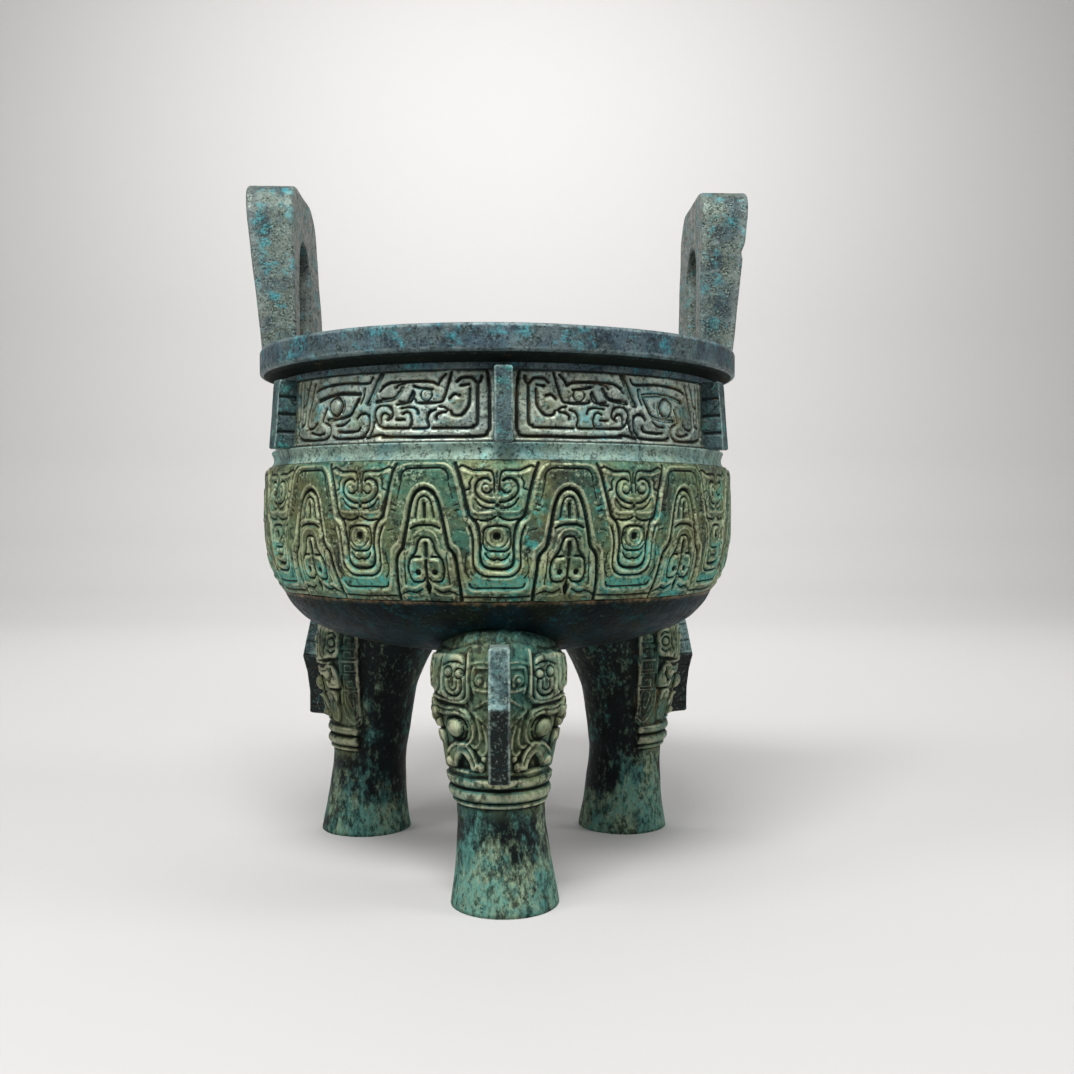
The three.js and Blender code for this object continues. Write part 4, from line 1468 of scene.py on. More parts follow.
@dataclass
class Fin:
    """A thick radial flange with rounded corners and cuts across its sides.

    Args:
        reach: How far its front stands out, as (radius, height) from the bottom up.
        root: The radius where it is buried.
        thickness: Its full thickness.
        cuts: The cuts across each side, as lines of (radius, height).
        cut_width: How wide they are.
        cut_depth: How deep they are.
        rounding: The radius of its corners.
        cell: The spacing of its rows.
        facet: The height where its upper facet begins; the body colour goes above it and the skin colour
            below, painted light and painted shade on the leg flanges.
        rubbed_and_highlit: How rubbed its corners are, with a painted highlight, from 0.5 to 1.
    """

    reach: Line
    root: float
    thickness: float
    cuts: Sequence[Line]
    cut_width: float = 1.8
    cut_depth: float = 1.3
    rounding: float = 0.7
    cell: float = 0.8
    facet: float = 0.0
    rubbed_and_highlit: float = 0.76

    def shape(self) -> Shape:
        """Stacks rounded sections from the bottom to the top."""
        low, high = self.reach[0][1], self.reach[-1][1]
        rows = int((high - low) / self.cell) + 1
        up = np.linspace(low, high, rows)
        radii, heights = zip(*self.reach)
        front = np.interp(up, heights, radii)
        across = np.linspace(self.root, max(radii), 34)
        strokes = [Stroke(cut, self.cut_width, -self.cut_depth) for cut in self.cuts]
        depths = -ReliefField(across, up).draw(strokes).heights()
        half = self.thickness / 2
        rings = []
        edges = []
        turn = np.radians((0.0, 30.0, 60.0, 90.0))
        for row, z in enumerate(up):
            end = min(row, rows - 1 - row) * self.cell
            nearing = 1 - min(1.0, end / self.rounding)
            inset = self.rounding * (1 - math.sqrt(1 - nearing**2))
            tip = front[row] - inset
            side_x = half - inset
            flat = np.linspace(self.root, tip - self.rounding, 18)
            cut = np.interp(flat, across, depths[row])
            side = np.stack([side_x - cut, flat], axis=1)
            corner_x = side_x - self.rounding * (1 - np.cos(turn))
            corner = np.stack([corner_x, tip - self.rounding * (1 - np.sin(turn))], axis=1)
            face_x = np.linspace(side_x - self.rounding, 0, 5)[1:-1]
            face = np.stack([face_x, np.full_like(face_x, tip)], axis=1)
            right = np.vstack([side, corner[1:], face])
            # The cuts are marked below level, so the material darkens them with dirt and painted shade.
            darker = 0.5 - 0.35 * np.clip(cut, 0, 1)
            mark = np.concatenate([darker, np.full(3, self.rubbed_and_highlit), np.full(3, 0.5)])
            left = right[::-1] * (-1, 1)
            loop = np.vstack([right, [[0.0, tip]], left])
            rings.append(np.stack([loop[:, 0], -loop[:, 1], np.full(len(loop), z)], axis=1))
            rim = self.rubbed_and_highlit if end < self.rounding else 0.0
            edges.append(np.maximum(np.concatenate([mark, [0.5], mark[::-1]]), rim))
        points = np.concatenate(rings)
        columns = len(rings[0])
        faces = grid_faces(rows, columns, loop_columns=True)
        faces.append(tuple(range(columns)))
        faces.append(tuple(range(len(points) - 1, len(points) - 1 - columns, -1)))
        # The body colour goes above the facet and the skin colour below it: on the leg flanges a painted lit
        # upper facet and a painted shaded lower one.
        upper = smoothstep(self.facet - 0.6, self.facet + 0.6, points[:, 2])
        return Shape(points, faces, np.concatenate(edges), body_share=upper)


@dataclass
class NeckFlanges:
    """The six short flanges that part the frieze."""

    count: int = 6
    reach: Line = ((147.0, 244.3), (143.7, 282.6))
    root: float = 131.0
    thickness: float = 9.6
    wander: float = 0.9 * MM

    def flange(self) -> Fin:
        """One flange, with a cut at each quarter of its height."""
        low, height = 244.2, 38.3
        quarters = [low + height * share for share in (0.25, 0.5, 0.75)]
        return Fin(self.reach, self.root, self.thickness, [((130, z), (150, z)) for z in quarters])

    def build(self, copies: CopiesAround, finish: bpy.types.Material) -> bpy.types.Object:
        """Makes the six flanges as one piece."""
        piece = copies.apply(
            "neck_flanges",
            self.flange().shape().facing_out(),
            Count=self.count,
            First_Angle=math.radians(NECK_TURN),
            Step_Angle=2 * math.pi / self.count,
            Wander=self.wander,
            Wander_Scale=50.0,
            Seed=11.0,
            Material=finish,
        )
        shade(piece.data, Shading.CREASED, 50.0)
        hand_over(piece)
        return piece


# ---------------------------------------------------------------- ears


@dataclass
class Ear:
    """One upright handle, an arched slab with an arched hole.

    Args:
        side: -1 for the left one and 1 for the right one.
        top: The height of its top.
        twist: How much further in the back corner of its foot comes.
        corner: The radius of its upper corners.
        rounding: The radius of its edges.
        inner_face: How far out its inner face starts, and inner_lean how far it leans out by the top.
        outer_face: How far out its outer face starts, and outer_lean how far it leans out by the top.
        bow: How far its inner face bows in at the middle.
        upright: The height that its lean is measured over.
        around: How many points go round it.
    """

    side: int
    top: float
    twist: float = 0.0
    half_width: float = 41.0
    corner: float = 20.0
    foot: float = 298.5
    hole_half_width: float = 16.0
    hole_low: float = 306.5
    hole_below_top: float = 29.5
    rounding: float = 2.0
    inner_face: float = 120.5
    inner_lean: float = 2.9
    outer_face: float = 137.8
    outer_lean: float = 11.6
    bow: float = 3.0
    upright: float = 107.0
    around: int = 200

    def _loop(self, half: float, low: float, top: float, corner: float) -> np.ndarray:
        """Walks round an arched outline from the middle of its foot, evenly."""
        arc = np.radians(np.linspace(0, 90, 13))
        right = [(0.0, low), (half, low)]
        right += [(half - corner + corner * math.cos(a), top - corner + corner * math.sin(a)) for a in arc]
        path = right + [(0.0, top)] + [(-y, z) for y, z in right[:0:-1]] + [(0.0, low)]
        line = np.asarray(path)
        steps = np.concatenate([[0.0], np.cumsum(np.hypot(*np.diff(line, axis=0).T))])
        at = np.linspace(0, steps[-1], self.around, endpoint=False)
        return np.stack([np.interp(at, steps, line[:, 0]), np.interp(at, steps, line[:, 1])], axis=1)

    def _faces(self, y: np.ndarray, z: np.ndarray) -> tuple[np.ndarray, np.ndarray]:
        """How far out the slab's two faces are, less the rounding of their edges."""
        rise = (z - self.foot) / self.upright
        bowed = (1.0 - rise) * (y / self.half_width) ** 2 + rise
        near = self.inner_face + self.inner_lean * rise - self.bow * bowed
        near = near - self.twist * (1.0 - rise) * smoothstep(0.0, self.half_width, -y)
        far = self.outer_face + self.outer_lean * rise
        return near + self.rounding, far - self.rounding

    def _section(self, length: np.ndarray) -> list[tuple]:
        """Walks round the slab's section, from the hole's edge on the inner face.

        Args:
            length: How wide the slab is at each point round it.

        Returns:
            Each step's distance from the hole, share of the thickness, offset beyond the flat faces,
            edge mask and share of the body colour.
        """
        r = self.rounding
        quarter = np.radians((0.0, 22.5, 45.0, 67.5, 90.0))
        shares = np.linspace(0, 1, 12)
        # The inner face takes only the pale skin colour, painted light, and the other faces some of it; the
        # hole wall's low edge mark darkens it with dirt and painted shade.
        level, outer_edge, hole_edge, hole_wall = 0.5, 0.72, 0.7, 0.3
        inner_face, outer_wall, elsewhere = 0.0, 1.0, 0.7
        walk = [(r + (length - 2 * r) * share, 0.0, -r, level, inner_face) for share in shares]
        for number, a in enumerate(quarter[1:]):
            share = outer_wall if number else inner_face
            walk.append((length - r * (1 - math.sin(a)), 0.0, -r * math.cos(a), outer_edge, share))
        walk += [(length, through, 0.0, level, outer_wall) for through in (0.25, 0.5, 0.75)]
        for a in quarter:
            walk.append((length - r * (1 - math.cos(a)), 1.0, r * math.sin(a), outer_edge, elsewhere))
        walk += [(r + (length - 2 * r) * share, 1.0, r, level, elsewhere) for share in shares[::-1][1:]]
        walk += [(r * (1 - math.sin(a)), 1.0, r * math.cos(a), hole_edge, elsewhere) for a in quarter[1:]]
        walk += [(0.0, through, 0.0, hole_wall, elsewhere) for through in (0.75, 0.5, 0.25)]
        walk += [(r * (1 - math.cos(a)), 0.0, -r * math.sin(a), hole_edge, elsewhere) for a in quarter[:-1]]
        return walk

    def shape(self) -> Shape:
        """Wraps a rounded section round the hole and out to the edge."""
        outer = self._loop(self.half_width, self.foot, self.top, self.corner)
        hole_top = self.top - self.hole_below_top
        hole = self._loop(self.hole_half_width, self.hole_low, hole_top, self.hole_half_width - 0.01)
        span = outer - hole
        length = np.hypot(span[:, 0], span[:, 1])[:, None]
        direction = span / length
        walk = self._section(length)
        sections = []
        for away, through, beyond, _, _ in walk:
            y, z = (hole + direction * away).T
            low, high = self._faces(y, z)
            x = low + (high - low) * through + beyond
            sections.append(np.stack([self.side * x, self.side * y, z], axis=1))
        points = np.concatenate(sections)
        self._roughen(points)
        faces = grid_faces(len(sections), self.around, loop_rows=True, loop_columns=True)
        edge, body_share = (np.repeat([step[column] for step in walk], self.around) for column in (3, 4))
        return Shape(points, faces, edge, body_share=body_share)

    def _roughen(self, points: np.ndarray) -> None:
        """Gives the slab a casting's slight waves, and the right ear the nick in its outer edge."""
        x, y, z = points.T
        points[:, 0] += 0.12 * np.sin(z / 9.0 + y / 14.0 + self.side) + 0.07 * np.sin(z / 4.1 - y / 6.0)
        points[:, 1] += 0.12 * np.sin(z / 11.0 + 1.3 * self.side) + 0.08 * np.sin(z / 3.7)
        if self.side > 0:
            nick_height, nick_depth = 363.0, 1.8
            near = np.exp(-(((z - nick_height) / 3.0) ** 2) - ((y + self.half_width) / 7.0) ** 2)
            points[:, 0] -= nick_depth * near * smoothstep(136.0, 144.0, x)

    def build(self, finish: bpy.types.Material) -> bpy.types.Object:
        """Makes the ear."""
        name = "ear_left" if self.side < 0 else "ear_right"
        mesh = mesh_of(name, self.shape().facing_out(), shift=True)
        mesh.materials.append(finish)
        shade(mesh, Shading.CREASED, 45.0)
        piece = linked(name, mesh)
        hand_over(piece)
        return piece


# ---------------------------------------------------------------- legs


def cheek(x: float, z: float) -> Point:
    """A place on the leg as (along its skin, up), from how far it stands to the side of the flange."""
    return LegForm.skin * math.asin(max(-1.0, min(1.0, x / LegForm.mask_radius))), z


def cheeks(*points: Point) -> list[Point]:
    """Places on the leg's skin from places seen straight on."""
    return [cheek(x, z) for x, z in points]


class LegForm:
    """The leg's smooth form, before its mask: its shaft, and the flare that carries it into the bowl."""

    centre: float = 98.0
    skin: float = 33.0
    mask_radius: float = 36.5
    shaft: Line = (
        (29.2, 0), (28.9, 2), (27.3, 11.6), (25.7, 22), (24.7, 33), (23.8, 44), (23.8, 51),
        (24.3, 56), (26.4, 73), (29.2, 90), (31.2, 99), (32.6, 107), (33.4, 120), (32.6, 131),
        (30.6, 138), (26, 145), (20, 150),
    )
    flare: Line = (
        (0, 92), (0.8, 99), (2.6, 106), (5.4, 113), (9.6, 120), (16.5, 128), (28, 135),
        (46, 150),
    )

    @classmethod
    def radius(cls, angle: np.ndarray, up: np.ndarray) -> np.ndarray:
        """The leg's radius by the angle from its flange, in radians, and by height."""
        base = along(cls.shaft, up)
        spread = along(cls.flare, up) * smoothstep(math.radians(100), math.radians(165), np.abs(angle))
        return base + spread


@dataclass
class Mask:
    """The beast mask that wraps the outer side of each leg, drawn on one cheek and mirrored."""

    limit: float = 64.5
    low: float = 70.4
    high: float = 136.5
    plate: float = 1.1
    thunder_edge: float = 51.6

    def masses(self) -> list:
        """The plate with its horns, brows, cheeks and jaws as levels."""
        return [
            Patch(((-6, self.high), (30, self.high + 0.5), (self.limit, self.high - 6),
                (self.limit, self.low + 18), (self.limit - 3, self.low), (20, self.low - 0.4),
                (-6, self.low)), self.plate, 1.6),
            Patch(cheeks((19.2, 114.5), (22.5, 111.8), (30, 112.8), (36, 116.5), (36.4, 124),
                (36, 133), (29, 135.4), (20.5, 134.4), (18.6, 126)), 3.4, 1.6),
            Patch([(44, 116), (51, 117.5), (51.5, 131), (46, 134.5), (42, 132), (41, 122)], 3.6, 1.8),
            Patch(cheeks((17.6, 106.2), (24, 108.4), (31, 107.6), (35.6, 109.6), (36, 103.6), (30, 103.2),
                (23.5, 104.2), (18, 102.4)), 2.7, 1.6),
            Patch([(40, 96), (44, 94), (50, 96), (51, 103), (47, 110), (41, 110.5), (39, 104)], 3.9, 1.8),
            Patch([(38, 86), (43, 84.5), (47, 87), (47, 92.5), (42, 94.5), (38, 92)], 3.6, 1.8),
            Patch(cheeks((13.5, 76.5), (16.6, 85), (22.5, 90.2), (29, 87.6), (33.5, 80.5), (31.5, 75.5),
                (27.5, 76.6), (23.6, 83.4), (19.2, 79.6), (17.6, 75)), 3.4, 1.4),
            Patch([(46, 74), (47, 84), (42, 92), (37, 84), (38, 75)], 2.6, 1.6),
        ]

    def face(self) -> list:
        """The lines and knobs of the face."""
        return [
            ridge(*cheeks((5.4, 131.9), (11, 132), (15.6, 131.2)), width=1.5, height=0.9),
            ridge(*cheeks((17.2, 137.6), (16.9, 126), (16.7, 116), (18.2, 112.2), (22, 110.9),
                (29, 111.2), (35.6, 112)), width=1.9, height=2.2),
            ridge(*cheeks((6, 129.4), (12.6, 129.4), (14.4, 127.6), (14.6, 121), (13.4, 116.6)),
                width=1.4, height=1.1),
            ridge(*cheeks((5.4, 117.4), (9.6, 117.4), (13.4, 118.6)), width=1.5, height=1.1),
            ridge(*cheeks((7.6, 119.6), (7.4, 123.2), (9.4, 125.6), (12, 124.8), (12.6, 122.4),
                (11.2, 120.8)), width=1.5, height=1.1),
            Boss(cheek(10.4, 122.8), 1.6, 1.4),
            ridge(*cheeks((5.6, 113), (9.8, 110.6), (14.6, 107.2), (10.2, 102.6), (5.6, 98)),
                width=1.5, height=1.2),
            ridge(*cheeks((5.6, 109.4), (9.6, 107.2), (5.6, 102.8)), width=1.1, height=0.6),
            groove(*cheeks((20.2, 123), (20, 118.6), (21.6, 115.2), (24.6, 114), (27.8, 115.4),
                (29.2, 119), (29.2, 123.6)), width=1.5, depth=2.0),
            groove(*cheeks((22.6, 121.6), (22.8, 118.6), (24.6, 117), (26.4, 118.6), (26.4, 121.6)),
                depth=1.6),
            groove(*cheeks((24.5, 124), (24.6, 119.2)), width=1.1, depth=1.3),
            ring(cheek(21.4, 126), 2.6, 1.2, -1.8),
            Boss(cheek(21.4, 126), 1.7, 0.6),
            ring(cheek(27.2, 126.4), 2.8, 1.2, -1.8),
            Boss(cheek(27.2, 126.4), 1.8, 0.6),
            groove(*cheeks((19.6, 130.4), (22.6, 131.8), (27, 131.4), (30.4, 129.4)), width=1.3, depth=1.6),
            groove(*cheeks((31.4, 133.4), (31.8, 125), (31.6, 118), (33.4, 114.4)), width=1.5, depth=2.0),
            groove(*cheeks((34.4, 130), (34.6, 124), (33.6, 120)), depth=1.4),
            ring((46.2, 125.4), 2.9, 1.2, -1.7),
            groove((43, 120.4), (46.4, 118.8), (49.6, 120.6), depth=1.6),
            groove((43.4, 130.8), (47.2, 131.4), (49.8, 129), depth=1.5),
            groove(*cheeks((19, 104.6), (24, 106.4), (30, 105.6), (35, 107)), width=1.0, depth=1.3),
            Patch(cheeks((17.6, 99), (20.6, 103), (26, 103.4), (31, 101), (32.2, 96),
                (29, 90.6), (22.6, 89.4), (18.4, 93.2)), 1.6, 1.4),
            groove(*cheeks((18.8, 97.6), (20.8, 101.6), (25.6, 102.6), (30.6, 100.4), (31.6, 95.4)),
                depth=1.6),
            Boss(cheek(25.4, 96.8), 4.9, 4.2),
            groove(*cheeks((19.2, 95.6), (21.2, 91.6), (25.4, 90.4), (29.8, 92)), depth=1.4),
            ridge(*cheeks((16.8, 103.4), (15.4, 98), (16, 92.6), (19, 88.9), (24, 87.9)),
                width=1.6, height=1.7),
            ridge(*cheeks((12.9, 105.4), (11.6, 98), (11.4, 91.6), (12.8, 88.2), (15.2, 87),
                (17.2, 88.4)), width=1.5, height=1.3),
            ridge(*cheeks((9.2, 99.2), (7.8, 92.6), (7.6, 86.8), (8.8, 84), (11, 83), (12.8, 84.6)),
                width=1.5, height=1.2),
            Boss((42, 104.8), 3, 1.4),
            Boss((47.4, 100.4), 2.4, 1),
            groove((39.4, 100.8), (43.4, 99.6), (46, 103.6), (45.6, 108.6), width=1.3, depth=1.8),
            groove((38.6, 95), (44, 94.6), (50, 95.2), width=1.4, depth=2.2),
            Boss((41.6, 89.6), 2.4, 1.2),
            groove(*cheeks((15.2, 77.4), (18, 84), (22.8, 87.8), (28.4, 85.4), (31.8, 80.2)), width=1.0),
            Patch(cheeks((19.8, 75), (21.2, 79.4), (24, 82), (26.8, 79), (27.2, 75)), -0.4, 1.4),
            Boss(cheek(30.2, 78.6), 2.6, 2.2),
            Boss(cheek(12.4, 76.4), 2.7, 2.8),
            ring(cheek(12.4, 76.4), 1.5, 0.8, -0.8),
            Boss(cheek(9.8, 81), 1.7, 1.7),
            ridge(*cheeks((5.4, 73.2), (14, 72.9), (24, 73.2), (31, 73.8)), width=1.6, height=0.9),
            ridge(*cheeks((6.4, 96), (6.2, 84), (6.4, 75)), width=1.0),
        ]

    def thunder(self) -> list:
        """The strip of squared spirals along the mask's edge."""
        near, far = self.thunder_edge, self.limit - 0.8
        marks = [
            Stroke(((near, 134.5), (near, 96.0)), 1.1, 0.8),
            Stroke(((far, 131.5), (far, 78.0)), 1.2, 0.9),
            ridge((near, 96), (50.4, 86), (53, 78), (58.6, 72.8), (far, 76), height=0.9),
        ]
        middle = (near + far) / 2
        for z in (127.6, 118.6, 109.6):
            marks += self._spiral(middle, z, 4.9, 3.7)
            marks.append(Stroke(((near, z - 4.5), (far, z - 4.5)), 1.0, 0.8))
        marks += self._spiral(middle + 0.6, 99.2, 4.6, 4.2)
        marks.append(Stroke(((near, 94.4), (far, 94.4)), 1.0, 0.8))
        curl = (
            (53.4, 92.2), (53.2, 86), (56.4, 79.4), (60.4, 76.4), (61.8, 80), (61.8, 92), (56, 92.2),
            (56.4, 86.6), (59.2, 82.2), (59.6, 88.4),
        )
        marks.append(ridge(*curl, width=1.1, height=0.8))
        return marks

    @staticmethod
    def _spiral(across: float, up: float, half_width: float, half_height: float) -> list:
        """One squared spiral, drawn as straight strokes."""
        inner = ((1, -0.6), (-0.45, -0.6), (-0.45, 0.35), (0.4, 0.35), (0.4, -0.1))
        corners = ((-1, -1), (-1, 1), (1, 1), *inner)
        line = [(across + half_width * x, up + half_height * z) for x, z in corners]
        return [Stroke((a, b), 1.0, 0.8) for a, b in zip(line, line[1:])]

    def marks(self) -> list:
        """The whole drawing."""
        return self.masses() + self.face() + self.thunder()


@dataclass(frozen=True)
class AnkleRing:
    """A half-round band on the outer side of the ankle."""

    low: float
    high: float
    proud: float

    def swell(self, angle: np.ndarray, up: np.ndarray) -> np.ndarray:
        """How far the band stands out, by the angle from the flange and the height."""
        share = np.clip((up - self.low) / (self.high - self.low), 0.0, 1.0)
        section = np.sqrt(np.clip(1.0 - (2.0 * share - 1.0) ** 2, 0.0, 1.0))
        return self.proud * section * smoothstep(math.radians(112), math.radians(104), np.abs(angle))


@dataclass
class Leg:
    """One leg, with its rings and mask in one skin, made at the front and turned into place.

    Args:
        cell: The spacing of the points on its outer side.
        fine_angle: How far round that side reaches from the flange, in degrees.
        fine_height: The height where the mask and rings begin.
        rings: The bands round its ankle.
        top: The height where it is buried in the bowl.
        buried: How deep it goes into the bowl.
        lid: The height of the middle of its buried end.
    """

    cell: float = 0.73
    fine_angle: float = 115.0
    fine_height: float = 49.0
    rings: tuple[AnkleRing, ...] = (
        AnkleRing(64.6, 70.2, 2.8), AnkleRing(57.2, 63.8, 3.1), AnkleRing(54.2, 56.8, 1.7),
    )
    top: float = 152.0
    buried: float = 2.6
    lid: float = 138.6

    def _grid(self) -> tuple[np.ndarray, np.ndarray]:
        """The angles and heights of its points, close together on the outer side and coarse elsewhere."""
        fine = math.radians(self.fine_angle)
        columns = round(fine * LegForm.skin / self.cell)
        right = np.concatenate([np.linspace(0.0, fine, columns + 1), np.linspace(fine, math.pi, 14)[1:]])
        low = np.linspace(0.0, self.fine_height, 22)[:-1]
        angle = np.concatenate([-right[-2:0:-1], right])
        return angle, np.concatenate([low, np.arange(self.fine_height, self.top, self.cell)])

    def _relief(self, angle: np.ndarray, up: np.ndarray) -> np.ndarray:
        """The mask on both cheeks, and the rings."""
        skin = np.abs(angle) * LegForm.skin
        order = np.argsort(skin, kind="stable")
        heights = np.empty((len(up), len(angle)))
        heights[:, order] = ReliefField(skin[order], up).draw(Mask().marks()).heights()
        heights *= smoothstep(math.radians(114), math.radians(112.5), np.abs(angle))
        for ring_ in self.rings:
            heights += ring_.swell(angle, up[:, None])
        return heights

    def shape(self) -> Shape:
        """Wraps the skin round the leg's axis and cuts its top to the bowl."""
        angle, up = self._grid()
        heights = self._relief(angle, up)
        around, height = np.meshgrid(angle, up)
        radius = LegForm.radius(around, height) + heights
        x = np.sin(around) * radius
        y = -LegForm.centre - np.cos(around) * radius
        radii, levels = zip(*UNDER_CURVE, (132.0, 164.0))
        z = np.minimum(height, np.interp(np.hypot(x, y), radii, levels) + self.buried)
        points = np.stack([x, y, z], axis=-1).reshape(-1, 3)
        points = np.vstack([points, [[0, -LegForm.centre, 0.0], [0, -LegForm.centre, self.lid]]])
        rows, wide = height.shape
        faces = grid_faces(rows, wide, loop_columns=True)
        low, high, last = len(points) - 2, len(points) - 1, (rows - 1) * wide
        for i in range(wide):
            j = (i + 1) % wide
            faces.append((low, j, i))
            faces.append((high, last + i, last + j))
        edge = edge_mask(heights, self.cell, 0.6)
        body_share = smoothstep(math.radians(114), math.radians(82), np.abs(around))
        body_share *= smoothstep(46.0, 56.0, height) * smoothstep(152.0, 134.0, height)
        ends = [0.5, 0.5]
        return Shape(points, faces, np.append(edge, ends), body_share=np.append(body_share, ends))


class LegPlace(Enum):
    """Where each leg stands: its turn from the front in degrees, and how far its foot has strayed.

    The foot strays sideways and outwards, because the legs were bent a little in the casting.
    """

    front = (0.0, 3.0, 6.0)
    right = (120.0, 1.4, -2.0)
    left = (-120.0, 2.0, 3.0)


@dataclass
class Legs:
    """The three legs, with the radial flange that is each mask's nose."""

    bend_from: float = 78.0
    sole: float = 0.8 * MM
    flange_reach: Line = (
        (146.3, 72.2), (146.3, 87.0), (148.4, 100.0), (151.8, 110.3), (151.8, 111.0), (145.7, 134.0),
        (144.0, 141.0),
    )
    flange_cuts: Sequence[Line] = (
        ((148, 132), (128, 132)), ((152, 121.5), (134, 121.5), (134, 132)), ((154, 111.6), (132, 111.6)),
        ((150, 103.5), (138, 103.5), (136, 97)), ((140, 97), (140, 84), (148, 84)), ((150, 78), (136, 78)),
    )

    def flange(self) -> Fin:
        """The flange, with the steps on its sides."""
        return Fin(
            self.flange_reach,
            root=118.0,
            thickness=11.2,
            cuts=self.flange_cuts,
            cut_width=1.5,
            cut_depth=0.9,
            rounding=0.8,
            facet=111.2,
        )

    def _stand(self, mesh: bpy.types.Mesh) -> None:
        """Puts a sole flat on the floor."""
        places = np.empty(len(mesh.vertices) * 3, dtype=np.float32)
        mesh.vertices.foreach_get("co", places)
        heights = places[2::3]
        heights[heights < self.sole] = 0.0
        mesh.vertices.foreach_set("co", places)

    def build(
        self, copies: CopiesAround, skin: bpy.types.Material, flange: bpy.types.Material
    ) -> list[bpy.types.Object]:
        """Makes the legs and their flanges."""
        leg = Leg().shape().facing_out()
        straight = leg.points.copy()
        share = smoothstep(self.bend_from, 0.0, straight[:, 2])
        pieces = []
        for number, place in enumerate(LegPlace):
            name = f"leg_{place.name}"
            turn, sideways, outwards = place.value
            leg.points = straight + share[:, None] * (sideways, -outwards, 0.0)
            piece = copies.apply(
                name,
                leg,
                Count=1,
                First_Angle=math.radians(turn),
                Wander=1.4 * MM,
                Wander_Scale=45.0,
                Seed=21.0 + number,
                Material=skin,
            )
            self._stand(piece.data)
            shade(piece.data, Shading.SMOOTH)
            hand_over(piece)
            pieces.append(piece)
        fins = copies.apply(
            "leg_flanges",
            self.flange().shape().facing_out(),
            Count=len(LegPlace),
            Step_Angle=2 * math.pi / len(LegPlace),
            Wander=1.0 * MM,
            Wander_Scale=50.0,
            Seed=31.0,
            Material=flange,
        )
        shade(fins.data, Shading.CREASED, 50.0)
        hand_over(fins)
        return pieces + [fins]


# ---------------------------------------------------------------- studio


Place = tuple[float, float, float]


@dataclass(frozen=True)
class Softbox:
    """One soft light.

    Args:
        name: Its name.
        place: Where it hangs.
        aim: Where it points.
        size: Its width and height.
        power: Its power in watts.
    """

    name: str
    place: Place
    aim: Place
    size: tuple[float, float]
    power: float

    def hang(self) -> None:
        """Puts it in the scene."""
        data = bpy.data.lights.new(self.name, "AREA")
        data.shape = "RECTANGLE"
        data.size, data.size_y = self.size
        data.energy = self.power
        light = bpy.data.objects.new(self.name, data)
        light.location = self.place
        x, y, z = (b - a for a, b in zip(self.place, self.aim))
        tilt = math.atan2(math.hypot(x, y), -z)
        light.rotation_euler = Euler((tilt, 0.0, math.atan2(y, x) - math.pi / 2), "XYZ")
        bpy.context.scene.collection.objects.link(light)


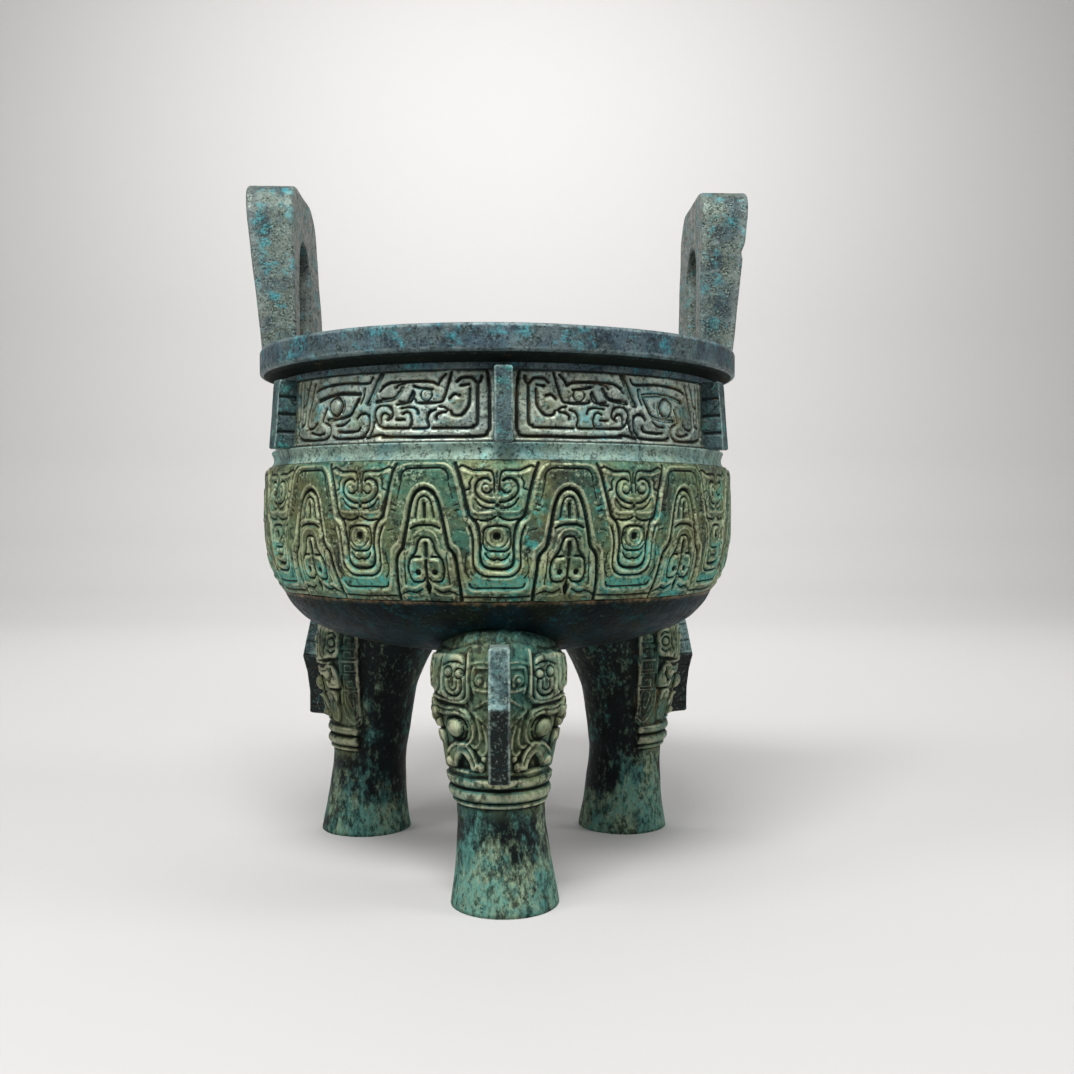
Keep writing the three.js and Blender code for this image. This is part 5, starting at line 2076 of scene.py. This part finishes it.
@dataclass
class Studio:
    """The camera, the pale floor and the soft lights, in metres."""

    camera_place: Place = (0.0, -0.71435, 0.2098)
    turn_right: float = 1.89
    tilt_down: float = 1.3
    lens: float = 38.55
    floor_size: float = 8.0
    # The floor runs back and curves up into the wall, as (distance back, height).
    sweep: Line = ((1.5, 0.0), (1.8, 0.03), (2.05, 0.14), (2.2, 0.35), (2.25, 0.7), (2.25, 3.5))
    floor_colour: Colour = (0.5, 0.49, 0.48, 1.0)
    sky_colour: Colour = (0.86, 0.87, 0.89, 1.0)
    sky_strength: float = 0.34
    softboxes: Sequence[Softbox] = (
        Softbox("overhead", (-0.15, -0.8, 1.4), (0.0, 0.0, 0.2), (0.7, 0.4), 27.0),
        Softbox("left", (-1.4, -0.7, 1.3), (0.0, 0.0, 0.25), (0.6, 0.8), 10.0),
        Softbox("right", (1.5, -0.4, 1.2), (0.0, 0.0, 0.25), (0.6, 0.8), 10.0),
        Softbox("backdrop", (0.0, 0.9, 1.6), (0.0, 2.1, 0.5), (1.6, 0.5), 32.0),
    )

    def camera(self) -> None:
        """Places the camera."""
        data = bpy.data.cameras.new("camera")
        data.lens = self.lens
        data.sensor_width = 36.0
        data.clip_start = 0.01
        camera = bpy.data.objects.new("camera", data)
        camera.location = self.camera_place
        pitch, yaw = math.radians(90.0 - self.tilt_down), -math.radians(self.turn_right)
        camera.rotation_euler = Euler((pitch, 0.0, yaw), "XYZ")
        bpy.context.scene.collection.objects.link(camera)
        bpy.context.scene.camera = camera

    def floor(self) -> None:
        """Lays the floor and curves it up into a backdrop far behind."""
        half = self.floor_size / 2
        outline = [(-half, 0.0), *self.sweep]
        points = [(x, y, z) for y, z in outline for x in (-half, half)]
        faces = [(2 * i, 2 * i + 1, 2 * i + 3, 2 * i + 2) for i in range(len(outline) - 1)]
        mesh = bpy.data.meshes.new("floor")
        mesh.from_pydata(points, [], faces)
        paint = bpy.data.materials.new("Pale floor")
        paint.use_nodes = True
        shader = paint.node_tree.nodes["Principled BSDF"]
        shader.inputs["Base Color"].default_value = self.floor_colour
        shader.inputs["Roughness"].default_value = 0.85
        mesh.materials.append(paint)
        shade(mesh, Shading.SMOOTH)
        linked("floor", mesh)

    def lights(self) -> None:
        """Hangs the lights and sets the pale surroundings."""
        for softbox in self.softboxes:
            softbox.hang()
        world = bpy.data.worlds.new("surroundings")
        world.use_nodes = True
        sky = world.node_tree.nodes["Background"]
        sky.inputs["Color"].default_value = self.sky_colour
        sky.inputs["Strength"].default_value = self.sky_strength
        bpy.context.scene.world = world
        bpy.context.scene.view_settings.view_transform = "Standard"

    def build(self) -> None:
        """Sets up the whole studio."""
        self.camera()
        self.floor()
        self.lights()
        log.info("studio ready")


# ---------------------------------------------------------------- the vessel


def main() -> None:
    """Builds the vessel and its studio."""
    logging.basicConfig(level=logging.INFO, format="%(name)s: %(message)s")
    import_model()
    Studio().build()
    groups = PatinaGroups()
    copies = CopiesAround()
    Bowl().build(
        {
            Zone.UNDERSIDE: UNDERSIDE_PATINA_AND_SHADE.material(groups),
            Zone.COLLAR: COLLAR_PATINA.material(groups),
            Zone.RIM: RIM_PATINA.material(groups),
            Zone.INSIDE: INSIDE_PATINA.material(groups),
            Zone.SHADE: RIM_UNDERSIDE_SHADE.material(groups),
        }
    )
    BellyWave().build(copies, BELLY_PATINA.material(groups))
    NeckFrieze().build(copies, FRIEZE_PATINA.material(groups))
    NeckFlanges().build(copies, FLANGE_PATINA.material(groups))
    ear_patina_and_light = EAR_PATINA_AND_LIGHT.material(groups)
    Ear(-1, 403.6, twist=4.4).build(ear_patina_and_light)
    Ear(1, 401.8).build(ear_patina_and_light)
    Legs().build(copies, LEG_PATINA.material(groups), LEG_FLANGE_PATINA_AND_LIGHT.material(groups))


if __name__ == "__main__":
    main()
